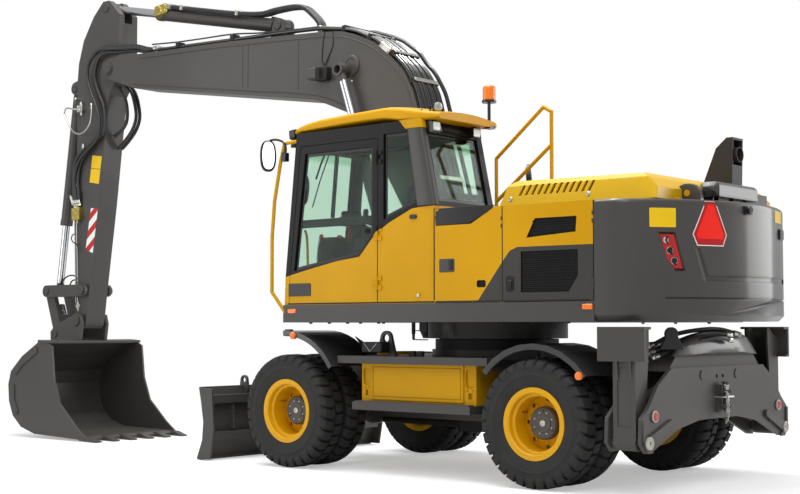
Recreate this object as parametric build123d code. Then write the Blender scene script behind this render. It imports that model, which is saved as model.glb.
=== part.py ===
"""Wheeled excavator: twin-tyred undercarriage, slewing upper structure, boom, arm and bucket.

Millimetres. X points ahead, Y to the left, Z up, and the floor is at Z = 0.
The origin is under the middle of the whole machine.
"""
from build123d import *
import math
import os

# Undercarriage
REAR_AXLE_X = -3325
WHEELBASE = 2796
FRONT_AXLE_X = REAR_AXLE_X + WHEELBASE
TYRE_R = 528
TYRE_W = 278
AXLE_Z = TYRE_R
HALF_WIDTH = 1270
OUTER_TYRE_Y = HALF_WIDTH - TYRE_W / 2 - 1
DUAL_SPACING = 318
INNER_TYRE_Y = OUTER_TYRE_Y - DUAL_SPACING
RIM_SEAT_R = 255
RIM_FLANGE_R = 296
BEAD_HALF_W = 107
TYRE_FIT = 0.3
HUB_R = 150
SPINDLE_R = 60
FIT = 0.05
GAP = 6
AXLE_R = 115
KINGPIN_Y = 560
KINGPIN_R = 34

FRAME_HALF_W = 330
FRAME_TOP_Z = 1050
FRAME_LOW_Z = 450
FRAME_ARCH_Z = 730
DECK_T = 66
DECK_FRONT_X = FRONT_AXLE_X - 606
DECK_REAR_X = REAR_AXLE_X + 500
DECK_HALF_W = 1200

# Upper structure
SLEW_FROM_REAR = 1270
SLEW_X = REAR_AXLE_X + SLEW_FROM_REAR
RING_LOW_R = 576
RING_TOP_R = 660
RING_SEAT_Z = 1104
RING_SPLIT_Z = 1200
PLATFORM_Z = 1352
FLOOR_Z = 1514
FRONT_X = SLEW_X + 1550
WEIGHT_SEAM_X = SLEW_X - 1865
GRILLE_SEAM_X = SLEW_X - 985
SIDE_SEAM_X = SLEW_X - 270
PILLAR_X = SLEW_X + 395
TAIL_X = SLEW_X - 2690
TAIL_CURVE_R = HALF_WIDTH + 350
SIDE_TOP_Z = 2310
HOOD_TOP_Z = 2550
PANEL_T = 40

# Cab
CAB_RIGHT_Y = 385
CAB_LEFT_Y = HALF_WIDTH - 20
CAB_WALL = 45
CAB_TOP_Z = 3120
ROOF_TOP_Z = 3270
CAB_REAR_X = SLEW_X - 260
GLASS_T = 6

# Working equipment: pins as (x, z)
BOOM_FOOT = (SLEW_X + 450, 1820)
BOOM_NOSE = (REAR_AXLE_X + 6840, 4380)
BOOM_HALF_W = 200
BOOM_CYL_BASE = (SLEW_X + 930, 1620)
BOOM_CYL_EYE = (REAR_AXLE_X + 2990, 3900)
BOOM_CYL_Y = 302
BOOM_EYE_HALF_W = 50
ARM_HALF_W = 137
ARM_CYL_BASE = (REAR_AXLE_X + 4100, 4545)
ARM_CYL_EYE = (REAR_AXLE_X + 6970, 5150)
ARM_TIP = (REAR_AXLE_X + 7380, 1380)
ROCKER_PIN = (REAR_AXLE_X + 7300, 1750)
LINK_PIN = (REAR_AXLE_X + 8000, 1750)
BUCKET_LINK_PIN = (REAR_AXLE_X + 7810, 1230)
BUCKET_CYL_BASE = (REAR_AXLE_X + 7640, 4250)
BUCKET_HALF_W = 680
PIN_R = 42

# Blade and stabilisers
BLADE_PIN = (FRONT_AXLE_X + 464, 470)
BLADE_CYL_BASE = (FRONT_AXLE_X + 434, 900)
BLADE_CYL_EYE = (FRONT_AXLE_X + 964, 520)
BLADE_CYL_Y = 150
LEG_PIN = (1187, 423)
LEG_CYL_BASE = (300, 920)
LEG_CYL_EYE = (1070, 700)
LEG_X = REAR_AXLE_X - 845
LEG_HALF_W = 100


def block(x0, x1, y0, y1, z0, z1):
    """A rectangular solid between its lowest and highest corners."""
    size = (abs(x1 - x0), abs(y1 - y0), abs(z1 - z0))
    return Pos((x0 + x1) / 2, (y0 + y1) / 2, (z0 + z1) / 2) * Box(*size)


def plate_xz(points, y0, y1, radius=0):
    """A plate whose outline lies in XZ, from y0 to y1, with its corners rounded."""
    low, high = min(y0, y1), max(y0, y1)
    face = make_face(Polyline(*points, close=True))
    if radius:
        face = fillet(face.vertices(), radius)
    return extrude(Plane.XZ.offset(-high) * face, amount=high - low)


def plate_yz(points, x0, x1, radius=0):
    """A plate whose outline lies in YZ, from x0 to x1, with its corners rounded."""
    low, high = min(x0, x1), max(x0, x1)
    face = make_face(Polyline(*points, close=True))
    if radius:
        face = fillet(face.vertices(), radius)
    return extrude(Plane.YZ.offset(low) * face, amount=high - low)


def round_y(x, z, radius, y0, y1):
    """A cylinder along Y."""
    low, high = min(y0, y1), max(y0, y1)
    plane = Plane(origin=(x, low, z), x_dir=(1, 0, 0), z_dir=(0, 1, 0))
    return plane * Cylinder(radius, high - low, align=(Align.CENTER, Align.CENTER, Align.MIN))


def round_x(y, z, radius, x0, x1):
    """A cylinder along X."""
    low, high = min(x0, x1), max(x0, x1)
    plane = Plane(origin=(low, y, z), x_dir=(0, 1, 0), z_dir=(1, 0, 0))
    return plane * Cylinder(radius, high - low, align=(Align.CENTER, Align.CENTER, Align.MIN))


def round_z(x, y, radius, z0, z1):
    """A cylinder along Z."""
    return Pos(x, y, z0) * Cylinder(radius, z1 - z0, align=(Align.CENTER, Align.CENTER, Align.MIN))


def rod_between(start, end, radius):
    """A round bar from one point to another."""
    start, end = Vector(*start), Vector(*end)
    plane = Plane(origin=start, z_dir=end - start)
    return plane * Cylinder(radius, (end - start).length, align=(Align.CENTER, Align.CENTER, Align.MIN))


def both_sides(make):
    """A left piece and its mirror image on the right."""
    left = make
    return [left, mirror(left, about=Plane.XZ)]


def from_pin(pin, points):
    """Outline points given from a pin, as (ahead, up)."""
    return [(pin[0] + ahead, pin[1] + up) for ahead, up in points]


def bored_link(first, second, half_thick_first, half_thick_second, y0, y1):
    """A flat link with a round end at each of two pins."""
    dx, dz = second[0] - first[0], second[1] - first[1]
    length = math.hypot(dx, dz)
    nx, nz = -dz / length, dx / length
    web = plate_xz([
        (first[0] + nx * half_thick_first, first[1] + nz * half_thick_first),
        (second[0] + nx * half_thick_second, second[1] + nz * half_thick_second),
        (second[0] - nx * half_thick_second, second[1] - nz * half_thick_second),
        (first[0] - nx * half_thick_first, first[1] - nz * half_thick_first),
    ], y0, y1)
    return (web + round_y(first[0], first[1], half_thick_first, y0, y1)
            + round_y(second[0], second[1], half_thick_second, y0, y1))


def inset(points, amount):
    """An outline moved inwards by one distance all round."""
    face = make_face(Polyline(*points, close=True))
    return offset(face, amount=-amount, kind=Kind.INTERSECTION)


def prism_xz(face, y0, y1):
    low, high = min(y0, y1), max(y0, y1)
    return extrude(Plane.XZ.offset(-high) * face, amount=high - low)


def solids_of(shape):
    """A shape or a list of shapes as one compound of its solids."""
    shapes = shape if isinstance(shape, (list, tuple)) else [shape]
    solids = [solid for item in shapes for solid in item.solids()]
    return solids[0] if len(solids) == 1 else Compound(children=solids)


def hinge_z(x, y, low, length, pin_r, lug_r):
    """An upright hinge: two lugs with their pin, the knuckle between them, and the room the lugs need in a door."""
    third = length / 3
    lugs = round_z(x, y, pin_r, low, low + length)
    room = Part()
    for z in (low, low + 2 * third):
        lugs += round_z(x, y, lug_r, z, z + third)
        room += round_z(x, y, lug_r + 4, z - 1, z + third + 1)
    knuckle = round_z(x, y, lug_r, low + third + 1, low + 2 * third - 1)
    return lugs, knuckle, room, round_z(x, y, pin_r + FIT, low - 1, low + length + 1)


PARTS = {}


def keep(name, shape):
    PARTS[name] = solids_of(shape)


# Wheels: two tyres and two rims on one planetary hub at each corner
LUG_PITCHES = 22
LUG_DEPTH = 23
LUG_HALF_LENGTH = 39
LUG_SLANT = 12


def ring_section(corner_r, y):
    """One flat-sided section across a tyre."""
    plane = Plane(origin=(0, y, 0), x_dir=(1, 0, 0), z_dir=(0, 1, 0))
    return plane * RegularPolygon(corner_r, LUG_PITCHES)


def tyre(lugged):
    """A carcass with flat pitches; the outer tyre also has two rows of slanting bars, half a pitch apart."""
    half = TYRE_W / 2
    base_r = TYRE_R - LUG_DEPTH
    stations = [(-BEAD_HALF_W, RIM_FLANGE_R + 8), (-half, 440), (-0.84 * half, base_r)]
    stations += [(-y, r) for y, r in reversed(stations)]
    ring = loft([ring_section(r, y) for y, r in stations], ruled=True)
    if lugged:
        # The far corner of each bar's flat top lies at the tyre's radius, and one of them at the floor
        flat = 0.72 * half
        lean = math.radians(LUG_SLANT)
        reach = LUG_HALF_LENGTH * math.cos(lean) + flat * math.sin(lean)
        top_r = math.sqrt(TYRE_R ** 2 - reach ** 2)
        bar = plate_yz([(4, base_r - 12), (4, top_r), (flat, top_r), (0.90 * half, top_r - 12),
                        (half, 475), (0.80 * half, 475)], -LUG_HALF_LENGTH, LUG_HALF_LENGTH)
        pitch = 360 / LUG_PITCHES
        bars = []
        for i in range(LUG_PITCHES):
            bars.append(Rot(0, (i + 0.5) * pitch, 0) * Rot(0, 0, LUG_SLANT) * bar)
            bars.append(Rot(0, i * pitch, 0) * mirror(Rot(0, 0, LUG_SLANT) * bar, about=Plane.XZ))
        ring = Rot(0, math.degrees(math.asin(reach / TYRE_R)), 0) * (ring + bars)
    return ring - round_y(0, 0, RIM_SEAT_R + TYRE_FIT, -half, half)


OUTER_TYRE = tyre(True)
INNER_TYRE = tyre(False)


HAND_HOLES = 8
HAND_HOLE_RING_R = 192


def rim_pair(axle_x, side):
    """Both rims and the hub, turned as one piece about the axle."""
    seat = RIM_SEAT_R
    flange = 12
    outer_edge = OUTER_TYRE_Y + BEAD_HALF_W + TYRE_FIT
    outer_back = OUTER_TYRE_Y - BEAD_HALF_W - TYRE_FIT
    inner_edge = INNER_TYRE_Y + BEAD_HALF_W + TYRE_FIT
    inner_back = INNER_TYRE_Y - BEAD_HALF_W - TYRE_FIT
    barrel = 10
    disc_y = outer_back - 4
    hub_face = disc_y + 95
    hub_back = KINGPIN_Y + 100
    profile = [
        (0, hub_face), (HUB_R - 75, hub_face), (HUB_R - 78, hub_face - 5), (HUB_R - 40, hub_face - 5),
        (HUB_R - 35, hub_face), (HUB_R - 28, hub_face), (HUB_R - 16, hub_face - 14), (HUB_R - 14, disc_y + 40),
        (HUB_R + 10, disc_y + 34), (seat - barrel - 22, disc_y + 12), (seat - barrel - 22, outer_edge - 52),
        (seat - barrel - 3, outer_edge - 40), (seat - barrel, outer_edge + flange - 10),
        (seat - barrel + 10, outer_edge + flange), (RIM_FLANGE_R, outer_edge + flange),
        (RIM_FLANGE_R, outer_edge), (seat, outer_edge), (seat, outer_back), (RIM_FLANGE_R, outer_back),
        (RIM_FLANGE_R, outer_back - flange), (seat, outer_back - flange),
        (seat, inner_edge + flange), (RIM_FLANGE_R, inner_edge + flange), (RIM_FLANGE_R, inner_edge),
        (seat, inner_edge), (seat, inner_back), (RIM_FLANGE_R, inner_back),
        (RIM_FLANGE_R, inner_back - flange), (seat - barrel, inner_back - flange),
        (seat - barrel, disc_y), (HUB_R, disc_y), (HUB_R, hub_back), (0, hub_back),
    ]
    face = make_face(Polyline(*profile, close=True))
    turned = revolve(Plane.XY * face, axis=Axis.Y)
    bore = round_y(0, 0, SPINDLE_R + FIT, hub_back - 1, hub_back + 121)
    holes = [Rot(0, i * 360 / HAND_HOLES, 0) * round_y(0, HAND_HOLE_RING_R, 19, disc_y - 30, disc_y + 80)
             for i in range(HAND_HOLES)]
    bolts = [Rot(0, i * 120, 0) * round_y(0, HUB_R - 52, 9, hub_face - 6, hub_face + 5) for i in range(3)]
    piece = Pos(axle_x, 0, AXLE_Z) * (turned - bore - holes + bolts)
    return piece if side > 0 else mirror(piece, about=Plane.XZ)


CORNERS = (("front_left", FRONT_AXLE_X, 1), ("front_right", FRONT_AXLE_X, -1),
           ("rear_left", REAR_AXLE_X, 1), ("rear_right", REAR_AXLE_X, -1))
for corner, corner_x, corner_side in CORNERS:
    keep("tyres_" + corner, [Pos(corner_x, corner_side * OUTER_TYRE_Y, AXLE_Z) * OUTER_TYRE,
                             Pos(corner_x, corner_side * INNER_TYRE_Y, AXLE_Z) * INNER_TYRE])
    keep("rims_" + corner, rim_pair(corner_x, corner_side))

HUB_BACK_Y = KINGPIN_Y + 100
SPINDLE_END_Y = HUB_BACK_Y + 110


# Axles
def rear_axle():
    beam = round_y(REAR_AXLE_X, AXLE_Z, AXLE_R, -HUB_BACK_Y + GAP, HUB_BACK_Y - GAP)
    spindle = round_y(REAR_AXLE_X, AXLE_Z, SPINDLE_R, -SPINDLE_END_Y, SPINDLE_END_Y)
    gear = Pos(REAR_AXLE_X, 0, AXLE_Z) * Sphere(200)
    pads = [block(REAR_AXLE_X - 90, REAR_AXLE_X + 90, s * 240 - 60, s * 240 + 60, AXLE_Z, FRAME_ARCH_Z) for s in (-1, 1)]
    return beam + spindle + gear + pads[0] + pads[1]


def front_axle():
    ear_reach = 60
    beam_end = KINGPIN_Y - 110
    beam = round_y(FRONT_AXLE_X, AXLE_Z, AXLE_R - 10, -beam_end, beam_end)
    gear = Pos(FRONT_AXLE_X, 0, AXLE_Z) * Sphere(185)
    trunnion = round_x(0, AXLE_Z + 40, 70, FRONT_AXLE_X - 240, FRONT_AXLE_X + 240)
    body = beam + gear + trunnion
    for side in (-1, 1):
        end = beam_end - 20
        back = block(FRONT_AXLE_X - 70, FRONT_AXLE_X + 70, side * (end - 40), side * end, AXLE_Z - 165, AXLE_Z + 165)
        body += back
        for low, high in ((-165, -115), (115, 165)):
            ear = block(FRONT_AXLE_X - ear_reach, FRONT_AXLE_X + ear_reach, side * (end - 1), side * KINGPIN_Y,
                        AXLE_Z + low, AXLE_Z + high)
            ear += round_z(FRONT_AXLE_X, side * KINGPIN_Y, ear_reach, AXLE_Z + low, AXLE_Z + high)
            body += ear
        body -= round_z(FRONT_AXLE_X, side * KINGPIN_Y, KINGPIN_R + FIT, AXLE_Z - 170, AXLE_Z + 170)
    return body


def knuckle(side):
    core = round_z(FRONT_AXLE_X, side * KINGPIN_Y, 78, AXLE_Z - 109, AXLE_Z + 109)
    pin = round_z(FRONT_AXLE_X, side * KINGPIN_Y, KINGPIN_R, AXLE_Z - 165, AXLE_Z + 165)
    neck = round_y(FRONT_AXLE_X, AXLE_Z, 88, side * KINGPIN_Y, side * (HUB_BACK_Y - GAP))
    spindle = round_y(FRONT_AXLE_X, AXLE_Z, SPINDLE_R, side * KINGPIN_Y, side * SPINDLE_END_Y)
    return core + pin + neck + spindle


keep("rear_axle", rear_axle())
keep("front_axle", front_axle())
keep("knuckle_left", knuckle(1))
keep("knuckle_right", knuckle(-1))


# Chassis frame: box girder with arches over the axles, deck plate and ring seat
EYE_X = DECK_FRONT_X - 400
EYE_Y = 960
EYE_T = 30
EYE_Z = FRAME_TOP_Z + 160
EYE_R = 36


def chassis_frame():
    rear = REAR_AXLE_X - 680
    front = BLADE_PIN[0] - 90
    outline = [
        (rear, FRAME_TOP_Z), (front, FRAME_TOP_Z), (front, 380), (FRONT_AXLE_X + 260, 380),
        (FRONT_AXLE_X + 245, FRAME_ARCH_Z), (FRONT_AXLE_X - 245, FRAME_ARCH_Z),
        (FRONT_AXLE_X - 300, FRAME_LOW_Z), (REAR_AXLE_X + 330, FRAME_LOW_Z), (REAR_AXLE_X + 230, FRAME_ARCH_Z),
        (REAR_AXLE_X - 230, FRAME_ARCH_Z), (REAR_AXLE_X - 330, FRAME_LOW_Z + 60), (rear, FRAME_LOW_Z + 60),
    ]
    girder = plate_xz(outline, -FRAME_HALF_W, FRAME_HALF_W)
    deck = block(DECK_REAR_X, DECK_FRONT_X, -DECK_HALF_W, DECK_HALF_W, FRAME_TOP_Z - DECK_T, FRAME_TOP_Z)
    seat = round_z(SLEW_X, 0, RING_LOW_R + 30, FRAME_TOP_Z - 10, RING_SEAT_Z)
    frame = girder + deck + seat
    frame -= round_x(0, AXLE_Z + 40, 71, FRONT_AXLE_X - 241, FRONT_AXLE_X + 241)
    frame -= round_x(0, AXLE_Z + 40, 70.3, FRONT_AXLE_X - 300, FRONT_AXLE_X + 300)
    # Brackets that carry the blade arms and the tops of their cylinders
    for side in (-1, 1):
        for y0, y1 in ((side * 300, side * 330), (side * 405, side * 435)):
            frame += plate_xz(from_pin(BLADE_PIN, [(-90, -90), (-90, 110), (0, 110), (60, 60), (60, -60), (0, -90)]), y0, y1)
        frame += block(BLADE_PIN[0] - 150, BLADE_PIN[0] - 90, side * 300, side * 435, 380, 600)
        frame += round_y(BLADE_PIN[0], BLADE_PIN[1], 32, side * 300, side * 435)
        for y0, y1 in ((BLADE_CYL_Y - 62, BLADE_CYL_Y - 42), (BLADE_CYL_Y + 42, BLADE_CYL_Y + 62)):
            frame += plate_xz(from_pin(BLADE_CYL_BASE, [(-70, -70), (-70, 70), (30, 60), (55, 0), (30, -60)]), side * y0, side * y1)
        frame += round_y(BLADE_CYL_BASE[0], BLADE_CYL_BASE[1], 25, side * (BLADE_CYL_Y - 62), side * (BLADE_CYL_Y + 62))
        # Tie-down eye on the deck plate behind the front fender, and filler bosses inside it
        eye = plate_xz([(EYE_X - 115, FRAME_TOP_Z - 10), (EYE_X + 115, FRAME_TOP_Z - 10), (EYE_X + 62, EYE_Z + 20),
                        (EYE_X - 62, EYE_Z + 20)], side * EYE_Y, side * (EYE_Y + EYE_T))
        eye += round_y(EYE_X, EYE_Z, 66, side * EYE_Y, side * (EYE_Y + EYE_T))
        frame += eye - round_y(EYE_X, EYE_Z, EYE_R, side * (EYE_Y - 5), side * (EYE_Y + EYE_T + 5))
        for x in (EYE_X - 210, EYE_X - 300):
            frame += round_z(x, side * 860, 34, FRAME_TOP_Z - 5, FRAME_TOP_Z + 45)
    return frame


keep("chassis_frame", chassis_frame())

# Slewing ring, fixed half
SPIGOT_R = 470
fixed_ring = round_z(SLEW_X, 0, RING_LOW_R, RING_SEAT_Z, RING_SPLIT_Z)
keep("slew_ring", fixed_ring - round_z(SLEW_X, 0, SPIGOT_R + 0.08, RING_SEAT_Z - 1, RING_SPLIT_Z + 1))

BOX_FRONT_X = DECK_FRONT_X - 205
BOX_REAR_X = REAR_AXLE_X + 690
BOX_INNER_Y = DECK_HALF_W - 640
BOX_OUTER_Y = DECK_HALF_W - 95
BOX_LOW_Z = 640


def side_box():
    """A tool box under the deck plate, with its recessed door and its end brackets a little taller."""
    top = FRAME_TOP_Z - DECK_T
    x0, x1 = BOX_REAR_X + 130, BOX_FRONT_X - 115
    body = block(x0, x1, BOX_INNER_Y, BOX_OUTER_Y, BOX_LOW_Z + 20, top)
    body -= block(x0 + 25, x1 - 25, BOX_OUTER_Y - 6, BOX_OUTER_Y + 5, BOX_LOW_Z + 45, top - 25)
    body += block(x0 + 31, x1 - 31, BOX_OUTER_Y - 7, BOX_OUTER_Y - 1, BOX_LOW_Z + 51, top - 31)
    for a, b in ((BOX_REAR_X, x0), (x1, BOX_FRONT_X)):
        bracket = block(a, b, BOX_INNER_Y + 100, BOX_OUTER_Y - 12, BOX_LOW_Z, top)
        pocket = block(a + 18, b - 18, BOX_OUTER_Y - 30, BOX_OUTER_Y, BOX_LOW_Z + 150, top - 40)
        pocket = fillet(pocket.edges().filter_by(Axis.Y), 30)
        foot = block(a + 45, b - 45, BOX_OUTER_Y - 40, BOX_OUTER_Y, BOX_LOW_Z + 55, BOX_LOW_Z + 105)
        body += bracket - pocket - foot
        for x in (a + 36, b - 36):
            body += round_y(x, BOX_LOW_Z + 128, 9, BOX_OUTER_Y - 14, BOX_OUTER_Y - 5)
    body += block(BOX_REAR_X, BOX_FRONT_X, BOX_INNER_Y + 100, BOX_OUTER_Y - 12, BOX_LOW_Z, BOX_LOW_Z + 20)
    body += block(x0, x1, FRAME_HALF_W, BOX_INNER_Y, top - 120, top)
    return body


STEP_REAR_X = BOX_REAR_X - 10
STEP_FRONT_X = BOX_FRONT_X + 25
STEP_INNER_Y = BOX_OUTER_Y - 175
TREAD_INNER_Y = BOX_OUTER_Y + 14
TREAD_TOP_Z = BOX_LOW_Z + 10


def side_step():
    """A folded plate under the box, open below, with a raised tread along its outer edge."""
    plate = block(STEP_REAR_X, STEP_FRONT_X, STEP_INNER_Y, DECK_HALF_W, BOX_LOW_Z - 70, BOX_LOW_Z)
    plate -= block(STEP_REAR_X + 10, STEP_FRONT_X - 10, STEP_INNER_Y + 10, DECK_HALF_W - 10, BOX_LOW_Z - 80, BOX_LOW_Z - 10)
    tread = block(STEP_REAR_X + 20, STEP_FRONT_X - 20, TREAD_INNER_Y, DECK_HALF_W - 6, BOX_LOW_Z, TREAD_TOP_Z)
    return plate + tread


keep("side_boxes", both_sides(side_box()))
keep("side_steps", both_sides(side_step()))


def fender(axle_x, axle_z, radius, start_deg, end_deg, inner_y):
    """A curved plate over twin tyres, with its outer lip turned down."""
    thick = 10
    lip = 34
    points = []
    steps = 8
    for edge_r, turn in ((radius + thick, 1), (radius, -1)):
        angles = [start_deg + (end_deg - start_deg) * i / steps for i in range(steps + 1)][::turn]
        points += [(axle_x + edge_r * math.cos(math.radians(a)), axle_z + edge_r * math.sin(math.radians(a)))
                   for a in angles]
    shell = plate_xz(points, inner_y, HALF_WIDTH)
    outer = []
    for edge_r, turn in ((radius + thick, 1), (radius - lip, -1)):
        angles = [start_deg + (end_deg - start_deg) * i / steps for i in range(steps + 1)][::turn]
        outer += [(axle_x + edge_r * math.cos(math.radians(a)), axle_z + edge_r * math.sin(math.radians(a)))
                  for a in angles]
    turned_lip = revolve(Plane.XY * Pos(radius - lip + 4, HALF_WIDTH - 14) * Circle(13), axis=Axis.Y,
                         revolution_arc=end_deg - start_deg)
    turned_lip = Pos(axle_x, 0, axle_z) * Rot(0, -end_deg, 0) * turned_lip
    return shell + plate_xz(outer, HALF_WIDTH - 10, HALF_WIDTH) + turned_lip


FRONT_FENDER_R = 700
FRONT_FENDER_START = 88


def fenders():
    front_shell = fender(FRONT_AXLE_X, AXLE_Z + 40, FRONT_FENDER_R, FRONT_FENDER_START, 147, 660)
    lamp_x = FRONT_AXLE_X + 10
    lamp_z = AXLE_Z + 40 + FRONT_FENDER_R - 12
    front_shell += round_x(HALF_WIDTH - 60, lamp_z, 34, lamp_x - 40, lamp_x + 30)
    front_stay = block(DECK_FRONT_X - 220, DECK_FRONT_X + 120, 600, 700, FRAME_TOP_Z, FRAME_TOP_Z + 16)
    front_web = plate_xz([(DECK_FRONT_X - 60, FRAME_TOP_Z), (DECK_FRONT_X + 110, FRAME_TOP_Z + 12),
                          (DECK_FRONT_X + 260, FRAME_TOP_Z + 170), (DECK_FRONT_X + 120, FRAME_TOP_Z + 100)], 660, 676)
    front = front_shell + front_stay + front_web
    rear_shell = fender(REAR_AXLE_X, AXLE_Z, 640, 40, 142, 660)
    rear_stay = block(DECK_REAR_X - 170, DECK_REAR_X + 120, 600, 700, FRAME_TOP_Z, FRAME_TOP_Z + 16)
    rear_web = plate_xz([(DECK_REAR_X + 60, FRAME_TOP_Z), (DECK_REAR_X - 170, FRAME_TOP_Z),
                         (DECK_REAR_X - 240, FRAME_TOP_Z + 60), (DECK_REAR_X - 120, FRAME_TOP_Z + 60)], 660, 676)
    rear = rear_shell + rear_stay + rear_web
    return both_sides(front) + both_sides(rear)


keep("fenders", fenders())


def driveline():
    """Gearbox block between the axles with the shafts to both of them."""
    middle = (FRONT_AXLE_X + REAR_AXLE_X) / 2
    shaft_z = AXLE_Z - 130
    box = block(middle - 200, middle + 200, -150, 150, shaft_z - 60, FRAME_LOW_Z)
    front_shaft = rod_between((middle + 190, 0, shaft_z), (FRONT_AXLE_X - 136, 0, shaft_z), 34)
    rear_shaft = rod_between((middle - 190, 0, shaft_z), (REAR_AXLE_X + 156, 0, shaft_z), 34)
    axles = Pos(FRONT_AXLE_X, 0, AXLE_Z) * Sphere(185) + Pos(REAR_AXLE_X, 0, AXLE_Z) * Sphere(200)
    front_shaft -= axles
    rear_shaft -= axles
    return box + front_shaft + rear_shaft


keep("driveline", driveline())


# Rear carrier for the stabilisers: two plates with the legs between them
CARRIER_REAR_X = REAR_AXLE_X - 1010
CARRIER_FRONT_X = REAR_AXLE_X - 680
CARRIER_T = 32
HITCH_PIN_R = 22
HITCH_HOLE_Y = (-52, 52)
HITCH_HOLE_Z = 905
HITCH_HOLE_R = 16.5


def carrier_outline(half_top):
    left = [(half_top, 985), (1010, 860), (1150, 700), (1262, 610), (1275, 420), (1200, 345), (1120, 350),
            (700, 505), (350, 560)]
    return left + [(-y, z) for y, z in reversed(left)]


def stabiliser_carrier():
    rear = plate_yz(carrier_outline(800), CARRIER_REAR_X, CARRIER_REAR_X + CARRIER_T)
    front = plate_yz(carrier_outline(800), CARRIER_FRONT_X - CARRIER_T, CARRIER_FRONT_X)
    inner_x0 = CARRIER_REAR_X + CARRIER_T
    inner_x1 = CARRIER_FRONT_X - CARRIER_T
    roof = plate_yz([(-800, 960), (-780, 985), (-620, 1130), (-300, 1190), (300, 1190), (620, 1130), (780, 985),
                     (800, 960)], inner_x0, inner_x1)
    roof -= plate_yz([(-770, 950), (-740, 985), (-590, 1106), (-300, 1166), (300, 1166), (590, 1106), (740, 985),
                      (770, 950)], inner_x0 + 14, inner_x1 - 14)
    floor = block(inner_x0, inner_x1, -330, 330, 562, 600)
    body = rear + front + roof + floor
    for side in (-1, 1):
        body += round_x(side * LEG_PIN[0], LEG_PIN[1], 36, CARRIER_REAR_X, CARRIER_FRONT_X)
        body += round_x(side * LEG_CYL_BASE[0], LEG_CYL_BASE[1], 26, CARRIER_REAR_X, CARRIER_FRONT_X)
    # Pintle hitch with its pin between two jaws, and the two bolt holes above it
    hitch = plate_yz([(-75, 610), (75, 610), (75, 835), (-75, 835)], CARRIER_REAR_X - 22, CARRIER_REAR_X)
    for low, high in ((770, 795), (650, 675)):
        jaw = block(CARRIER_REAR_X - 50, CARRIER_REAR_X, -60, 60, low, high)
        hitch += jaw + round_z(CARRIER_REAR_X - 50, 0, 60, low, high)
    hitch += round_z(CARRIER_REAR_X - 50, 0, HITCH_PIN_R, 625, 850)
    hitch += round_z(CARRIER_REAR_X - 50, 0, 32, 850, 862)
    body += hitch
    for y in HITCH_HOLE_Y:
        body -= round_x(y, HITCH_HOLE_Z, HITCH_HOLE_R, CARRIER_REAR_X - 5, CARRIER_REAR_X + CARRIER_T + 5)
    for side in (-1, 1):
        body += round_x(side * 1095, 618, 42, CARRIER_REAR_X - 8, CARRIER_REAR_X)
        body += round_x(side * LEG_PIN[0], LEG_PIN[1], 52, CARRIER_REAR_X - 12, CARRIER_REAR_X)
        body += round_x(side * LEG_CYL_BASE[0], LEG_CYL_BASE[1], 40, CARRIER_REAR_X - 8, CARRIER_REAR_X)
        body += plate_yz([(side * 1120, 345), (side * 1200, 345), (side * 1262, 430), (side * 1262, 600),
                          (side * 1235, 600), (side * 1235, 440), (side * 1190, 375), (side * 1120, 375)],
                         CARRIER_REAR_X - 14, CARRIER_REAR_X)
    return body


keep("stabiliser_carrier", stabiliser_carrier())


def stabiliser_leg(side):
    """A trough-shaped leg, open towards the middle, with its foot plate at the top."""
    py, pz = LEG_PIN
    x0, x1 = LEG_X - LEG_HALF_W, LEG_X + LEG_HALF_W
    wall = 18
    outer = block(x0, x1, py + 40, py + 40 + wall, pz, 1190)
    cheeks = []
    outline = [(py - 90, pz + 160), (py - 60, pz), (py + 58, pz), (py + 58, 1190), (py - 110, 1300), (py - 150, 1300),
               (py - 150, 1180)]
    for a, b in ((x0, x0 + wall), (x1 - wall, x1)):
        cheeks.append(plate_yz(outline, a, b))
    leg = outer + cheeks[0] + cheeks[1]
    leg += round_x(py, pz, 66, x0, x1)
    leg -= round_x(py, pz, 36 + FIT, x0 - 1, x1 + 1)
    leg -= block(x0 + 38, x1 - 38, py + 40 + wall - 8, py + 60, pz + 120, 1000)
    for x in (x0 + 30, x1 - 48):
        leg += plate_yz([(py + 58, 900), (py + 80, 1045), (py + 58, 1045)], x, x + 18)
    foot = block(REAR_AXLE_X - 1040, REAR_AXLE_X - 620, py + 58, py + 83, 1045, 1312)
    foot += block(REAR_AXLE_X - 1040, REAR_AXLE_X - 620, py - 20, py + 58, 1290, 1312)
    foot += block(REAR_AXLE_X - 1040, REAR_AXLE_X - 620, py + 20, py + 58, 1045, 1060)
    leg += foot
    return leg if side > 0 else mirror(leg, about=Plane.XZ)


keep("stabiliser_left", stabiliser_leg(1))
keep("stabiliser_right", stabiliser_leg(-1))


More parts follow.
